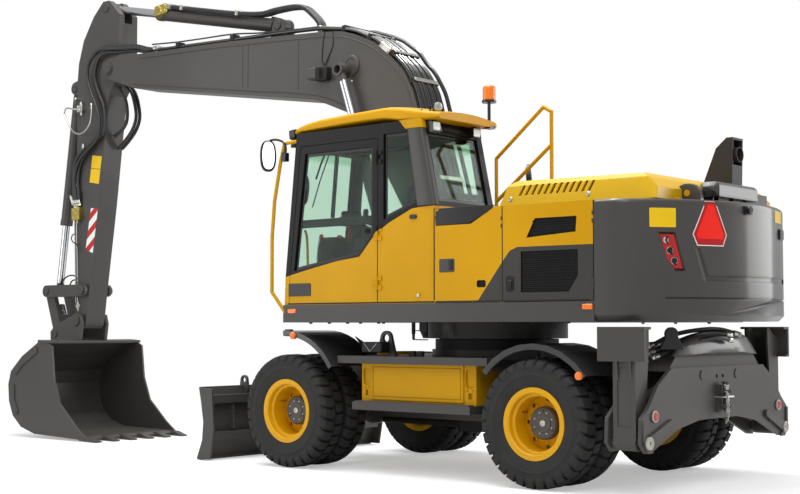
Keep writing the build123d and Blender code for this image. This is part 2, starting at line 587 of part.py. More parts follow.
# Hydraulic cylinders: a barrel on its base pin and a rod that slides in it
def cylinder_set(base, eye, barrel_len, barrel_r, rod_r, rod_len, eye_r, eye_half_w, pin_r):
    """Barrel and rod in a local frame: Z from base pin to eye, Y along the pins, base pin at the origin."""
    length = math.dist(base, eye)
    centred = (Align.CENTER, Align.CENTER, Align.MIN)
    shoulder = eye_r + 38
    barrel = round_y(0, 0, eye_r, -eye_half_w, eye_half_w)
    barrel += Pos(0, 0, 0) * Box(eye_r * 1.5, 2 * eye_half_w, shoulder + 10, align=centred)
    barrel += Pos(0, 0, shoulder) * Cylinder(barrel_r, barrel_len - shoulder, align=centred)
    barrel += Pos(0, 0, barrel_len - 70) * Cylinder(barrel_r + 6, 70, align=centred)
    port = shoulder + 45
    for z in (port, barrel_len - 110):
        barrel += Pos(-barrel_r, 0, z) * Box(36, 44, 50)
    barrel -= Pos(0, 0, shoulder + 25) * Cylinder(rod_r + 0.08, barrel_len, align=centred)
    barrel -= round_y(0, 0, pin_r + FIT, -eye_half_w - 1, eye_half_w + 1)
    rod = Pos(0, 0, length - rod_len) * Cylinder(rod_r, rod_len - eye_r * 0.5, align=centred)
    rod += round_y(0, length, eye_r, -eye_half_w, eye_half_w)
    rod -= round_y(0, length, pin_r + FIT, -eye_half_w - 1, eye_half_w + 1)
    return barrel, rod


def place_xz(shape, base, eye, y):
    """Lay a local cylinder piece between two pins that run along Y."""
    direction = Vector(eye[0] - base[0], 0, eye[1] - base[1])
    plane = Plane(origin=(base[0], y, base[1]), x_dir=Vector(0, 1, 0).cross(direction), z_dir=direction)
    return plane * shape


def place_yz(shape, base, eye, x, side):
    """Lay a local cylinder piece between two pins that run along X."""
    direction = Vector(0, side * (eye[0] - base[0]), eye[1] - base[1])
    plane = Plane(origin=(x, side * base[0], base[1]), x_dir=Vector(1, 0, 0).cross(direction), z_dir=direction)
    return plane * shape


boom_barrel, boom_rod = cylinder_set(BOOM_CYL_BASE, BOOM_CYL_EYE, 1830, 66, 44, 1780, 68, BOOM_EYE_HALF_W, PIN_R)
keep("boom_barrels", [place_xz(boom_barrel, BOOM_CYL_BASE, BOOM_CYL_EYE, s * BOOM_CYL_Y) for s in (1, -1)])
keep("boom_rods", [place_xz(boom_rod, BOOM_CYL_BASE, BOOM_CYL_EYE, s * BOOM_CYL_Y) for s in (1, -1)])

arm_barrel, arm_rod = cylinder_set(ARM_CYL_BASE, ARM_CYL_EYE, 2080, 75, 48, 2050, 75, 50, PIN_R)
keep("arm_barrel", place_xz(arm_barrel, ARM_CYL_BASE, ARM_CYL_EYE, 0))
keep("arm_rod", place_xz(arm_rod, ARM_CYL_BASE, ARM_CYL_EYE, 0))

bucket_barrel, bucket_rod = cylinder_set(BUCKET_CYL_BASE, LINK_PIN, 1700, 70, 45, 1660, 70, 45, PIN_R)
keep("bucket_barrel", place_xz(bucket_barrel, BUCKET_CYL_BASE, LINK_PIN, 0))
keep("bucket_rod", place_xz(bucket_rod, BUCKET_CYL_BASE, LINK_PIN, 0))

blade_barrel, blade_rod = cylinder_set(BLADE_CYL_BASE, BLADE_CYL_EYE, 420, 52, 30, 368, 45, 30, 25)
keep("blade_barrels", [place_xz(blade_barrel, BLADE_CYL_BASE, BLADE_CYL_EYE, s * BLADE_CYL_Y) for s in (1, -1)])
keep("blade_rods", [place_xz(blade_rod, BLADE_CYL_BASE, BLADE_CYL_EYE, s * BLADE_CYL_Y) for s in (1, -1)])

leg_barrel, leg_rod = cylinder_set(LEG_CYL_BASE, LEG_CYL_EYE, 700, 55, 33, 682, 48, 34, 26)
for side_name, side_sign in (("left", 1), ("right", -1)):
    keep("stabiliser_barrel_" + side_name, place_yz(leg_barrel, LEG_CYL_BASE, LEG_CYL_EYE, LEG_X, side_sign))
    keep("stabiliser_rod_" + side_name, place_yz(leg_rod, LEG_CYL_BASE, LEG_CYL_EYE, LEG_X, side_sign))


# Dozer blade with its two arms
BLADE_RIB_Y = (-950, -620, 620, 950)
BLADE_EYE_Y = 700
BLADE_EYE_Z = 775
BLADE_EYE_R = 27


def blade():
    low = 15
    front = FRONT_AXLE_X + 1214
    board = plate_xz([(front, low), (front - 75, 200), (front - 90, 380), (front - 60, 560), (front - 25, 715),
                      (front - 60, 722), (front - 110, 560), (front - 140, 380), (front - 125, 200), (front - 60, low)],
                     -HALF_WIDTH, HALF_WIDTH)
    ribs = block(front - 200, front - 100, -HALF_WIDTH + 40, HALF_WIDTH - 40, 560, 640)
    ribs += block(front - 200, front - 110, -HALF_WIDTH + 40, HALF_WIDTH - 40, 200, 280)
    ends = []
    for side in (-1, 1):
        ends.append(plate_xz([(front, low), (front - 75, 200), (front - 90, 380), (front - 60, 560), (front - 25, 715),
                              (front - 210, 700), (front - 240, 300), (front - 190, low)],
                             side * (HALF_WIDTH - 20), side * HALF_WIDTH))
    body = board + ribs + ends[0] + ends[1]
    for y in BLADE_RIB_Y:
        body += plate_xz([(front - 118, 280), (front - 190, 300), (front - 190, 540), (front - 122, 560)], y - 9, y + 9)
    edge = block(front - 66, front + 6, -HALF_WIDTH + 12, HALF_WIDTH - 12, 5, low + 85)
    body += edge & plate_xz([(front - 66, 5), (front + 6, 5), (front - 34, 100), (front - 60, 100)], -HALF_WIDTH, HALF_WIDTH)
    lug = bored_link((front - 90, 690), (front - 90, BLADE_EYE_Z), 60, 48, BLADE_EYE_Y, BLADE_EYE_Y + 26)
    body += lug - round_y(front - 90, BLADE_EYE_Z, BLADE_EYE_R, BLADE_EYE_Y - 5, BLADE_EYE_Y + 31)
    for side in (-1, 1):
        arm = bored_link(BLADE_PIN, (front - 150, 420), 60, 70, side * (330 + GAP), side * (405 - GAP))
        arm -= round_y(BLADE_PIN[0], BLADE_PIN[1], 32 + FIT, side * 330, side * 410)
        body += arm
        for y0, y1 in ((BLADE_CYL_Y - 60, BLADE_CYL_Y - 38), (BLADE_CYL_Y + 38, BLADE_CYL_Y + 60)):
            body += plate_xz([(front - 120, 430), (BLADE_CYL_EYE[0] + 20, 430), (BLADE_CYL_EYE[0] - 45, 470),
                              (BLADE_CYL_EYE[0] - 45, 570), (BLADE_CYL_EYE[0] + 40, 590), (front - 120, 600)],
                             side * y0, side * y1)
    return body


keep("blade", blade())


# Turntable: the platform with its ring half, the boom ears and the cylinder ears
def turntable():
    ring = round_z(SLEW_X, 0, RING_TOP_R, RING_SPLIT_Z + GAP, PLATFORM_Z)
    platform = block(WEIGHT_SEAM_X, FRONT_X, -HALF_WIDTH, HALF_WIDTH, PLATFORM_Z, FLOOR_Z)
    spigot = round_z(SLEW_X, 0, SPIGOT_R, RING_SEAT_Z + 20, RING_SPLIT_Z + GAP)
    body = ring + platform + spigot
    foot_ear = from_pin(BOOM_FOOT, [(-230, FLOOR_Z - 1821), (-120, 90), (-60, 130), (60, 130), (130, 60),
                                    (BOOM_CYL_BASE[0] - BOOM_FOOT[0] + 40, -125),
                                    (BOOM_CYL_BASE[0] - BOOM_FOOT[0] + 80, -190),
                                    (BOOM_CYL_BASE[0] - BOOM_FOOT[0] + 100, FLOOR_Z - 1821)])
    cyl_ear = from_pin(BOOM_CYL_BASE, [(-130, FLOOR_Z - 1621), (-70, 60), (0, 85), (70, 50), (130, FLOOR_Z - 1621)])
    for side in (-1, 1):
        body += plate_xz(foot_ear, side * (BOOM_HALF_W + GAP), side * (BOOM_CYL_Y - BOOM_EYE_HALF_W - GAP * 4))
        body += plate_xz(cyl_ear, side * (BOOM_CYL_Y + BOOM_EYE_HALF_W + GAP), side * (BOOM_CYL_Y + BOOM_EYE_HALF_W + GAP + 20))
        body += round_y(BOOM_CYL_BASE[0], BOOM_CYL_BASE[1], PIN_R, side * BOOM_HALF_W + side * GAP,
                        side * (BOOM_CYL_Y + BOOM_EYE_HALF_W + GAP + 20))
    body += round_y(BOOM_FOOT[0], BOOM_FOOT[1], PIN_R, -BOOM_HALF_W - GAP - 22, BOOM_HALF_W + GAP + 22)
    return body


keep("turntable", turntable())


def weight_outline():
    """Plan of the tail: straight sides, a wide arc behind, and rounded corners between them."""
    centre_x = TAIL_X + TAIL_CURVE_R
    length = WEIGHT_SEAM_X - 3 - TAIL_X
    strip = Pos(WEIGHT_SEAM_X - 3 - length / 2, 0) * Rectangle(length + 1, 2 * HALF_WIDTH)
    plan = strip & (Pos(centre_x, 0) * Circle(TAIL_CURVE_R))
    straight = WEIGHT_SEAM_X - 3 - centre_x + math.sqrt(TAIL_CURVE_R ** 2 - HALF_WIDTH ** 2)
    corners = [v for v in plan.vertices() if abs(v.Y) > HALF_WIDTH - 5 and v.X < WEIGHT_SEAM_X - 10]
    return fillet(corners, 1.25 * straight)


WEIGHT_RECESS_Y = 700
TAIL_LAMP_OUTLINE = [(1040, 2046), (915, 2046), (850, 1748), (930, 1748), (985, 1830)]


def counterweight():
    """A cast weight, tapered a little at its foot."""
    body = extrude(Plane.XY.offset(PLATFORM_Z + 6) * weight_outline(), amount=SIDE_TOP_Z - PLATFORM_Z - 6)
    behind = [e for e in body.edges() if e.center().X < WEIGHT_SEAM_X - 10]
    body = chamfer([e for e in behind if abs(e.center().Z - (PLATFORM_Z + 6)) < 1], 45)
    behind = [e for e in body.edges() if e.center().X < WEIGHT_SEAM_X - 10]
    body = fillet([e for e in behind if abs(e.center().Z - SIDE_TOP_Z) < 1], 32)
    centre_x = TAIL_X + TAIL_CURVE_R
    reach = (TAIL_X - 100, TAIL_X + 700)
    recess = plate_yz([(-WEIGHT_RECESS_Y, 1672), (WEIGHT_RECESS_Y, 1672), (WEIGHT_RECESS_Y + 70, 1925), (WEIGHT_RECESS_Y + 40, 1925),
                       (WEIGHT_RECESS_Y - 25, 1712), (-WEIGHT_RECESS_Y + 25, 1712), (-WEIGHT_RECESS_Y - 40, 1925),
                       (-WEIGHT_RECESS_Y - 70, 1925)], *reach)
    band = plate_yz([(-1000, 1530), (1000, 1530), (1000, 1542), (-1000, 1542)], *reach)
    body -= (recess + band) - round_z(centre_x, 0, TAIL_CURVE_R - 14, 1400, 2000)
    for side in (-1, 1):
        pocket = plate_yz([(side * y, z) for y, z in TAIL_LAMP_OUTLINE], *reach)
        body -= pocket - round_z(centre_x, 0, TAIL_CURVE_R - 50, 1400, 2200)
    return body


keep("counterweight", counterweight())


# Engine: one plain block at its real place behind the slewing centre
keep("engine", block(WEIGHT_SEAM_X + 160, GRILLE_SEAM_X + 100, -620, 620, FLOOR_Z, SIDE_TOP_Z - 60))

DOOR_PIN_R = 4.5
DOOR_LUG_R = 7.5
DOOR_HINGE_LOW_Z = (FLOOR_Z + 90, SIDE_TOP_Z - 180)
DOOR_HINGE_LENGTH = 90


def side_wall(side, seams, hinged):
    """Bulkheads and top rail that the side doors close against, with the lugs of their hinges."""
    edge = HALF_WIDTH - PANEL_T - GAP
    body = block(seams[0], seams[-1], side * 700, side * edge, SIDE_TOP_Z - 40, SIDE_TOP_Z)
    for x, before in zip(seams, (0, 15, 30)):
        body += block(x - before, x - before + 30, side * 700, side * edge, FLOOR_Z, SIDE_TOP_Z - 40)
    for x in hinged:
        for low in DOOR_HINGE_LOW_Z:
            lugs, knuckle, room, bore = hinge_z(x + 5, side * HALF_WIDTH, low, DOOR_HINGE_LENGTH, DOOR_PIN_R, DOOR_LUG_R)
            strap = block(x - 2, x + 1, side * (edge - 4), side * HALF_WIDTH, low, low + DOOR_HINGE_LENGTH)
            strap -= block(x - 3, x + 6, side * (HALF_WIDTH - 270), side * (HALF_WIDTH + 30), low + DOOR_HINGE_LENGTH / 3, low + DOOR_HINGE_LENGTH * 2 / 3)
            body += strap + lugs
    return body


keep("side_walls", [side_wall(1, (WEIGHT_SEAM_X, GRILLE_SEAM_X, SIDE_SEAM_X), (WEIGHT_SEAM_X, GRILLE_SEAM_X)),
                    side_wall(-1, (WEIGHT_SEAM_X, GRILLE_SEAM_X), (WEIGHT_SEAM_X,))])


def side_door(side, x0, x1):
    """A door panel, hinged at its rear edge."""
    panel = block(x0 + 5, x1 - 5, side * (HALF_WIDTH - PANEL_T), side * HALF_WIDTH, FLOOR_Z + 5, SIDE_TOP_Z - 2)
    for low in DOOR_HINGE_LOW_Z:
        lugs, knuckle, room, bore = hinge_z(x0 + 5, side * HALF_WIDTH, low, DOOR_HINGE_LENGTH, DOOR_PIN_R, DOOR_LUG_R)
        panel = panel - room + knuckle - bore
    return panel


def louvred(panel, side, outline, slats):
    """A door with a grille: a shallow recess with level slots through it, each between (x0, x1, z)."""
    face = side * HALF_WIDTH
    panel -= plate_xz([(x, z) for x, z in outline], face - side * 14, face + side * 5)
    slots = [block(x0, x1, face - side * (PANEL_T + 5), face, z, z + 13) for x0, x1, z in slats]
    return panel - slots


UPPER_GRILLE = [(GRILLE_SEAM_X - 325, 2190), (GRILLE_SEAM_X - 725, 2190), (GRILLE_SEAM_X - 715, 2065), (GRILLE_SEAM_X - 240, 2035)]
LOWER_GRILLE = [(GRILLE_SEAM_X - 185, 1925), (GRILLE_SEAM_X - 735, 1925), (GRILLE_SEAM_X - 735, 1720), (GRILLE_SEAM_X - 645, 1590),
                (GRILLE_SEAM_X - 185, 1590)]
UPPER_SLATS = [(GRILLE_SEAM_X - 705, GRILLE_SEAM_X - 300, z) for z in (2086, 2110, 2134, 2158)]
LOWER_SLATS = [(GRILLE_SEAM_X - 700 + max(0, 1715 - z) * 0.6, GRILLE_SEAM_X - 205, z) for z in range(1612, 1905, 26)]
left_rear = louvred(side_door(1, WEIGHT_SEAM_X, GRILLE_SEAM_X), 1, UPPER_GRILLE, UPPER_SLATS)
left_rear = louvred(left_rear, 1, LOWER_GRILLE, LOWER_SLATS)
right_rear = louvred(side_door(-1, WEIGHT_SEAM_X, GRILLE_SEAM_X), -1, LOWER_GRILLE, LOWER_SLATS)
left_front = side_door(1, GRILLE_SEAM_X, SIDE_SEAM_X)
left_front -= plate_xz([(SIDE_SEAM_X - 12, 2175), (SIDE_SEAM_X - 12, 2300), (GRILLE_SEAM_X + 90, 2300), (GRILLE_SEAM_X + 325, 2175)],
                       HALF_WIDTH - 7, HALF_WIDTH + 5)
handle = block(GRILLE_SEAM_X + 170, GRILLE_SEAM_X + 265, HALF_WIDTH - 14, HALF_WIDTH + 5, 1640, 1700)
left_front -= fillet(handle.edges().filter_by(Axis.Y), 18)
keep("side_door_left_front", left_front)
keep("side_door_left_rear", left_rear)
keep("side_door_right", right_rear)


def right_tank():
    """Fuel tank and steps ahead of the right doors, beside the boom."""
    body = block(GRILLE_SEAM_X + 110, SLEW_X + 900, -HALF_WIDTH, -CAB_RIGHT_Y - 60, FLOOR_Z, SIDE_TOP_Z - 60)
    body += block(SLEW_X + 900, FRONT_X - 60, -HALF_WIDTH, -CAB_RIGHT_Y - 60, FLOOR_Z, 1850)
    return body


keep("right_tank", right_tank())


HOOD_FRONT_X = REAR_AXLE_X + 510
HOOD_REAR_X = REAR_AXLE_X - 1010
HOOD_LOW_Z = SIDE_TOP_Z + 8
HOOD_HINGE = (HOOD_REAR_X - 12.6, SIDE_TOP_Z + 18)
HOOD_PIN_R = 7
HOOD_LUG_R = 12
HOOD_HINGE_Y = (-120, 640)
HOOD_LEFT_Y = 1010
HOOD_SPLIT_Y = -270
HOOD_WALL = 22
HOOD_SLOTS_X = [HOOD_FRONT_X - 215 - 62 * i for i in range(12)]


def hood_block(y0, y1, inward):
    """The humped cover over the engine between two heights of Y, or the hollow inside it."""
    x0, x1 = HOOD_REAR_X, HOOD_FRONT_X
    side = [(x1, HOOD_LOW_Z), (x1 - 75, HOOD_TOP_Z - 25), (x1 - 110, HOOD_TOP_Z), (x0 + 160, HOOD_TOP_Z - 15),
            (x0 + 80, HOOD_TOP_Z - 60), (x0, HOOD_TOP_Z - 140), (x0, HOOD_LOW_Z)]
    across = [(y1, HOOD_LOW_Z), (y1 - 45, HOOD_TOP_Z - 50), (y1 - 130, HOOD_TOP_Z), (y0 + 130, HOOD_TOP_Z),
              (y0 + 45, HOOD_TOP_Z - 50), (y0, HOOD_LOW_Z)]
    if inward:
        profile = prism_xz(inset(side, inward), y0, y1)
        section = extrude(Plane.YZ.offset(x0) * inset(across, inward), amount=x1 - x0)
        return (profile & section) + block(x0 + inward, x1 - inward, y0 + inward, y1 - inward, HOOD_LOW_Z - 9, HOOD_LOW_Z + inward + 1)
    return plate_xz(side, y0, y1) & plate_yz(across, x0, x1)


def hood():
    """Lid over the engine, hinged at its rear foot, open below."""
    outer = hood_block(-HOOD_LEFT_Y, HOOD_LEFT_Y, 0)
    cover = outer - hood_block(-HOOD_LEFT_Y, HOOD_LEFT_Y, HOOD_WALL)
    lid = cover & block(-9000, 0, HOOD_SPLIT_Y + GAP, 2000, 2000, 3000)
    lid -= [plate_xz([(x, 2412), (x + 24, 2412), (x - 14, 2500), (x - 38, 2500)], 900, 1050) for x in HOOD_SLOTS_X]
    x, z = HOOD_HINGE
    for y in HOOD_HINGE_Y:
        lid += round_y(x, z, HOOD_LUG_R, y + 41, y + 79) + block(x, HOOD_REAR_X + 5, y + 41, y + 79, z - 8, z + 12)
        lid -= round_y(x, z, HOOD_PIN_R + FIT, y - 1, y + 121)
    return lid


def hood_cowls():
    """Fixed right part of the cover, closed on its inner side, and the low cover behind the lid."""
    right = hood_block(-HOOD_LEFT_Y, HOOD_LEFT_Y, 0) & block(-9000, 0, -2000, HOOD_SPLIT_Y, 2000, 3000)
    right += block(HOOD_REAR_X, HOOD_FRONT_X, -HOOD_LEFT_Y + 2, HOOD_SPLIT_Y, SIDE_TOP_Z + 0.5, HOOD_LOW_Z)
    rear = block(HOOD_REAR_X - 175, HOOD_REAR_X - 95, -560, 420, SIDE_TOP_Z, SIDE_TOP_Z + 120)
    hinges = []
    x, z = HOOD_HINGE
    for y in HOOD_HINGE_Y:
        lugs = round_y(x, z, HOOD_PIN_R, y, y + 120)
        for y0 in (y, y + 80):
            lugs += round_y(x, z, HOOD_LUG_R, y0, y0 + 40) + block(x - 12, x + 8, y0, y0 + 40, SIDE_TOP_Z, z)
        hinges.append(lugs)
    return [right, rear] + hinges


keep("hood", hood())
keep("hood_cowls", hood_cowls())


def exhaust():
    """Wedge-shaped stack cover on the rear cowl, its mouth facing back."""
    base = HOOD_TOP_Z - 110
    y0, y1 = -520, -330
    body = plate_xz([(REAR_AXLE_X - 660, base), (REAR_AXLE_X - 830, 2850), (REAR_AXLE_X - 930, 2935),
                     (REAR_AXLE_X - 990, 2935), (REAR_AXLE_X - 975, base)], y0, y1)
    mid = (y0 + y1) / 2
    mouth = plate_yz([(y0 + 14, 2700), (y1 - 14, 2700), (y1 - 14, 2915), (y0 + 14, 2915)], REAR_AXLE_X - 1100, REAR_AXLE_X - 925)
    pipe = round_x(mid, 2790, 66, REAR_AXLE_X - 1010, REAR_AXLE_X - 905) - round_x(mid, 2790, 59, REAR_AXLE_X - 1020, REAR_AXLE_X - 915)
    return body - mouth + pipe - hood_block(-HOOD_LEFT_Y, HOOD_LEFT_Y, 0)


keep("exhaust", exhaust())


# Cab
CAB_SIDE = [(FRONT_X, FLOOR_Z), (FRONT_X - 10, 1770), (FRONT_X - 150, CAB_TOP_Z), (CAB_REAR_X + 170, CAB_TOP_Z),
            (CAB_REAR_X, 2330), (CAB_REAR_X, FLOOR_Z)]
DOOR_FRONT_X = FRONT_X - 60
DOOR_LOW_Z = FLOOR_Z + 12
DOOR_TOP_Z = 2990


DOOR_OPENING = [(DOOR_FRONT_X + 5, DOOR_LOW_Z - 5), (DOOR_FRONT_X - 5, 1770), (FRONT_X - 200, DOOR_TOP_Z + 5),
                (PILLAR_X - 5, DOOR_TOP_Z + 5), (PILLAR_X - 5, DOOR_LOW_Z - 5)]
DOOR_EDGE = [(DOOR_FRONT_X, DOOR_LOW_Z), (DOOR_FRONT_X - 10, 1770), (FRONT_X - 206, DOOR_TOP_Z),
             (PILLAR_X, DOOR_TOP_Z), (PILLAR_X, DOOR_LOW_Z)]
DOOR_WINDOW = [(DOOR_FRONT_X - 62, 1830), (FRONT_X - 262, DOOR_TOP_Z - 70), (PILLAR_X + 60, DOOR_TOP_Z - 70),
               (PILLAR_X + 60, 2150), (PILLAR_X + 220, 1960)]
REAR_WINDOW_SIDE = [(PILLAR_X - 70, 3020), (CAB_REAR_X + 250, 3020), (CAB_REAR_X + 130, 2420), (PILLAR_X - 70, 2260)]
RIGHT_WINDOW = [(FRONT_X - 120, 1830), (FRONT_X - 230, 3020), (CAB_REAR_X + 250, 3020), (CAB_REAR_X + 130, 2420),
                (CAB_REAR_X + 400, 1960)]


def cab_frame():
    outer = plate_xz(CAB_SIDE, CAB_RIGHT_Y, CAB_LEFT_Y)
    inner = prism_xz(inset(CAB_SIDE, CAB_WALL), CAB_RIGHT_Y + CAB_WALL, CAB_LEFT_Y - CAB_WALL)
    shell = outer - inner
    shell -= plate_xz(DOOR_OPENING, CAB_LEFT_Y - CAB_WALL - 5, CAB_LEFT_Y + 5)
    shell -= plate_xz(REAR_WINDOW_SIDE, CAB_LEFT_Y - CAB_WALL - 5, CAB_LEFT_Y + 5)
    shell -= plate_xz(RIGHT_WINDOW, CAB_RIGHT_Y - 5, CAB_RIGHT_Y + CAB_WALL + 5)
    mid_y = (CAB_RIGHT_Y + CAB_LEFT_Y) / 2
    half = (CAB_LEFT_Y - CAB_RIGHT_Y) / 2 - 75
    shell -= block(FRONT_X - 300, FRONT_X + 100, mid_y - half, mid_y + half, 1640, 3040)
    shell -= block(CAB_REAR_X - 100, CAB_REAR_X + 260, mid_y - half, mid_y + half, 2400, 3010)
    shell -= block(CAB_REAR_X + 300, FRONT_X - 330, mid_y - half, mid_y + half, CAB_TOP_Z - CAB_WALL - 5, CAB_TOP_Z + 5)
    return shell


CAB_HINGE_LOW_Z = (1640, 2080, 2760)
CAB_HINGE_LENGTH = 120
CAB_PIN_R = 8
CAB_LUG_R = 13
CAB_HINGE_Y = CAB_LEFT_Y + 13.4


def cab_hinges(frame, door):
    """The lugs and leaves of the door's hinges, added to the pillar and to the door."""
    for low in CAB_HINGE_LOW_Z:
        lugs, knuckle, room, bore = hinge_z(PILLAR_X, CAB_HINGE_Y, low, CAB_HINGE_LENGTH, CAB_PIN_R, CAB_LUG_R)
        third = CAB_HINGE_LENGTH / 3
        for z in (low, low + 2 * third):
            lugs += block(PILLAR_X - 52, PILLAR_X, CAB_LEFT_Y, CAB_LEFT_Y + 12, z, z + third)
        frame += lugs
        knuckle += block(PILLAR_X, PILLAR_X + 60, CAB_LEFT_Y - 2, CAB_LEFT_Y + 12, low + third + 1, low + 2 * third - 1)
        door = door - room + knuckle - bore
    return frame, door



ROOF_SIDE = [(FRONT_X + 20, CAB_TOP_Z), (FRONT_X - 5, 3195), (FRONT_X - 680, ROOF_TOP_Z), (SLEW_X + 280, ROOF_TOP_Z),
             (CAB_REAR_X + 70, 3165), (CAB_REAR_X + 40, CAB_TOP_Z)]
ROOF_BEVEL = 70
roof_across = [(CAB_RIGHT_Y - 10, CAB_TOP_Z), (CAB_RIGHT_Y - 10, CAB_TOP_Z + 60), (CAB_RIGHT_Y - 10 + ROOF_BEVEL, ROOF_TOP_Z + 1),
               (CAB_LEFT_Y - 10 - ROOF_BEVEL, ROOF_TOP_Z + 1), (CAB_LEFT_Y - 10, CAB_TOP_Z + 60), (CAB_LEFT_Y - 10, CAB_TOP_Z)]
roof = plate_xz(ROOF_SIDE, CAB_RIGHT_Y - 10, CAB_LEFT_Y - 10) & plate_yz(roof_across, CAB_REAR_X - 100, FRONT_X + 100)
hatch = block(SLEW_X + 330, SLEW_X + 830, 560, 1080, ROOF_TOP_Z, ROOF_TOP_Z + 22)
keep("cab_roof", roof + fillet(hatch.edges().filter_by(Axis.Z), 50))


def cab_door():
    door = plate_xz(DOOR_EDGE, CAB_LEFT_Y - CAB_WALL, CAB_LEFT_Y)
    door -= plate_xz(DOOR_WINDOW, CAB_LEFT_Y - CAB_WALL - 5, CAB_LEFT_Y + 5)
    return door


hinged_frame, hinged_door = cab_hinges(cab_frame(), cab_door())
keep("cab_frame", hinged_frame)
keep("cab_door", hinged_door)


def pane(points, y_middle):
    face = inset(points, 0.3)
    return prism_xz(face, y_middle - GLASS_T / 2, y_middle + GLASS_T / 2)


keep("door_glass", pane(DOOR_WINDOW, CAB_LEFT_Y - CAB_WALL / 2))


def cab_glass():
    left = pane(REAR_WINDOW_SIDE, CAB_LEFT_Y - CAB_WALL / 2)
    right = pane(RIGHT_WINDOW, CAB_RIGHT_Y + CAB_WALL / 2)
    mid_y = (CAB_RIGHT_Y + CAB_LEFT_Y) / 2
    half = (CAB_LEFT_Y - CAB_RIGHT_Y) / 2 - 75.3
    front_line = 20
    low, high = 1770, 3039.7
    lean = 140 / (CAB_TOP_Z - 1770)
    front = plate_xz([(FRONT_X - 10 - front_line, 1640.3), (FRONT_X - 10 - front_line, low),
                      (FRONT_X - 10 - front_line - lean * (high - low), high),
                      (FRONT_X - 16 - front_line - lean * (high - low), high), (FRONT_X - 16 - front_line, low),
                      (FRONT_X - 16 - front_line, 1640.3)], mid_y - half, mid_y + half)
    rear_lean = 170 / (CAB_TOP_Z - 2330)
    rear = plate_xz([(CAB_REAR_X + 20 + rear_lean * 70.3, 2400.3), (CAB_REAR_X + 20 + rear_lean * 679.7, 3009.7),
                     (CAB_REAR_X + 26 + rear_lean * 679.7, 3009.7), (CAB_REAR_X + 26 + rear_lean * 70.3, 2400.3)],
                    mid_y - half, mid_y + half)
    return [left, right, front, rear]


keep("cab_glass", cab_glass())

CAB_FLOOR_Z = FLOOR_Z + CAB_WALL


def seat():
    x, y = SLEW_X + 400, 810
    base = block(x - 180, x + 180, y - 160, y + 160, CAB_FLOOR_Z, CAB_FLOOR_Z + 330)
    cushion = block(x - 240, x + 260, y - 240, y + 240, CAB_FLOOR_Z + 330, CAB_FLOOR_Z + 450)
    back = plate_xz([(x - 240, CAB_FLOOR_Z + 450), (x - 110, CAB_FLOOR_Z + 450), (x - 190, CAB_FLOOR_Z + 1080),
                     (x - 300, CAB_FLOOR_Z + 1080)], y - 230, y + 230)
    head = block(x - 310, x - 210, y - 130, y + 130, CAB_FLOOR_Z + 1080, CAB_FLOOR_Z + 1240)
    return base + cushion + back + head


keep("seat", seat())


def controls():
    """Side consoles, steering column and wheel, in one piece with the floor plinth."""
    x = SLEW_X + 1000
    consoles = [block(SLEW_X + 300, SLEW_X + 760, 810 + s * 270, 810 + s * 345, CAB_FLOOR_Z, CAB_FLOOR_Z + 560)
                for s in (-1, 1)]
    column = rod_between((x + 260, 810, CAB_FLOOR_Z), (x, 810, CAB_FLOOR_Z + 720), 45)
    column -= block(x, x + 500, 600, 1000, FLOOR_Z, CAB_FLOOR_Z)
    rim_plane = Plane(origin=(x, 810, CAB_FLOOR_Z + 720), z_dir=(-260, 0, 720))
    wheel = rim_plane * Torus(185, 16)
    spoke = rim_plane * Box(360, 40, 16)
    return [consoles[0], consoles[1], column + wheel + spoke]


keep("controls", controls())


# Outside fittings on the upper structure
RAIL_R = 17
RAIL_Y = HALF_WIDTH + 20
MIRROR_Y = HALF_WIDTH + 80


def tube(points, radius):
    """A bent tube as straight runs with ball joints at the bends."""
    body = rod_between(points[0], points[1], radius)
    for a, b in zip(points[1:-1], points[2:]):
        body += Pos(*a) * Sphere(radius)
        body += rod_between(a, b, radius)
    return body


def handrails():
    """Grab rail at the cab door and the guard rail beside the hood."""
    grab = tube([(FRONT_X - 140, CAB_LEFT_Y - 15, 3050), (FRONT_X - 30, RAIL_Y, 3035), (FRONT_X + 20, RAIL_Y, 2870),
                 (FRONT_X + 100, RAIL_Y, 2500), (FRONT_X + 130, RAIL_Y, 2160), (FRONT_X + 130, RAIL_Y, 1640),
                 (FRONT_X - 20, HALF_WIDTH - 15, 1440)], RAIL_R)
    grab -= plate_xz(CAB_SIDE, CAB_RIGHT_Y, CAB_LEFT_Y)
    grab -= block(WEIGHT_SEAM_X, FRONT_X, -HALF_WIDTH, HALF_WIDTH, PLATFORM_Z, FLOOR_Z)
    y = 150
    front_x, rear_x = SLEW_X - 110, SLEW_X - 725
    guard = tube([(front_x, y, FLOOR_Z), (front_x, y, 2870), (rear_x + 85, y, 3300), (rear_x, y, 3250),
                  (rear_x, y, FLOOR_Z)], RAIL_R)
    guard += rod_between((front_x, y, 2470), (rear_x, y, 2950), RAIL_R)
    return [grab, guard]


keep("handrails", handrails())


def mirror_head(x, y, z):
    """A mirror housing, rounded at its corners, its glass facing back."""
    return Pos(x, y, z) * fillet(Box(46, 160, 300).edges(), 20)


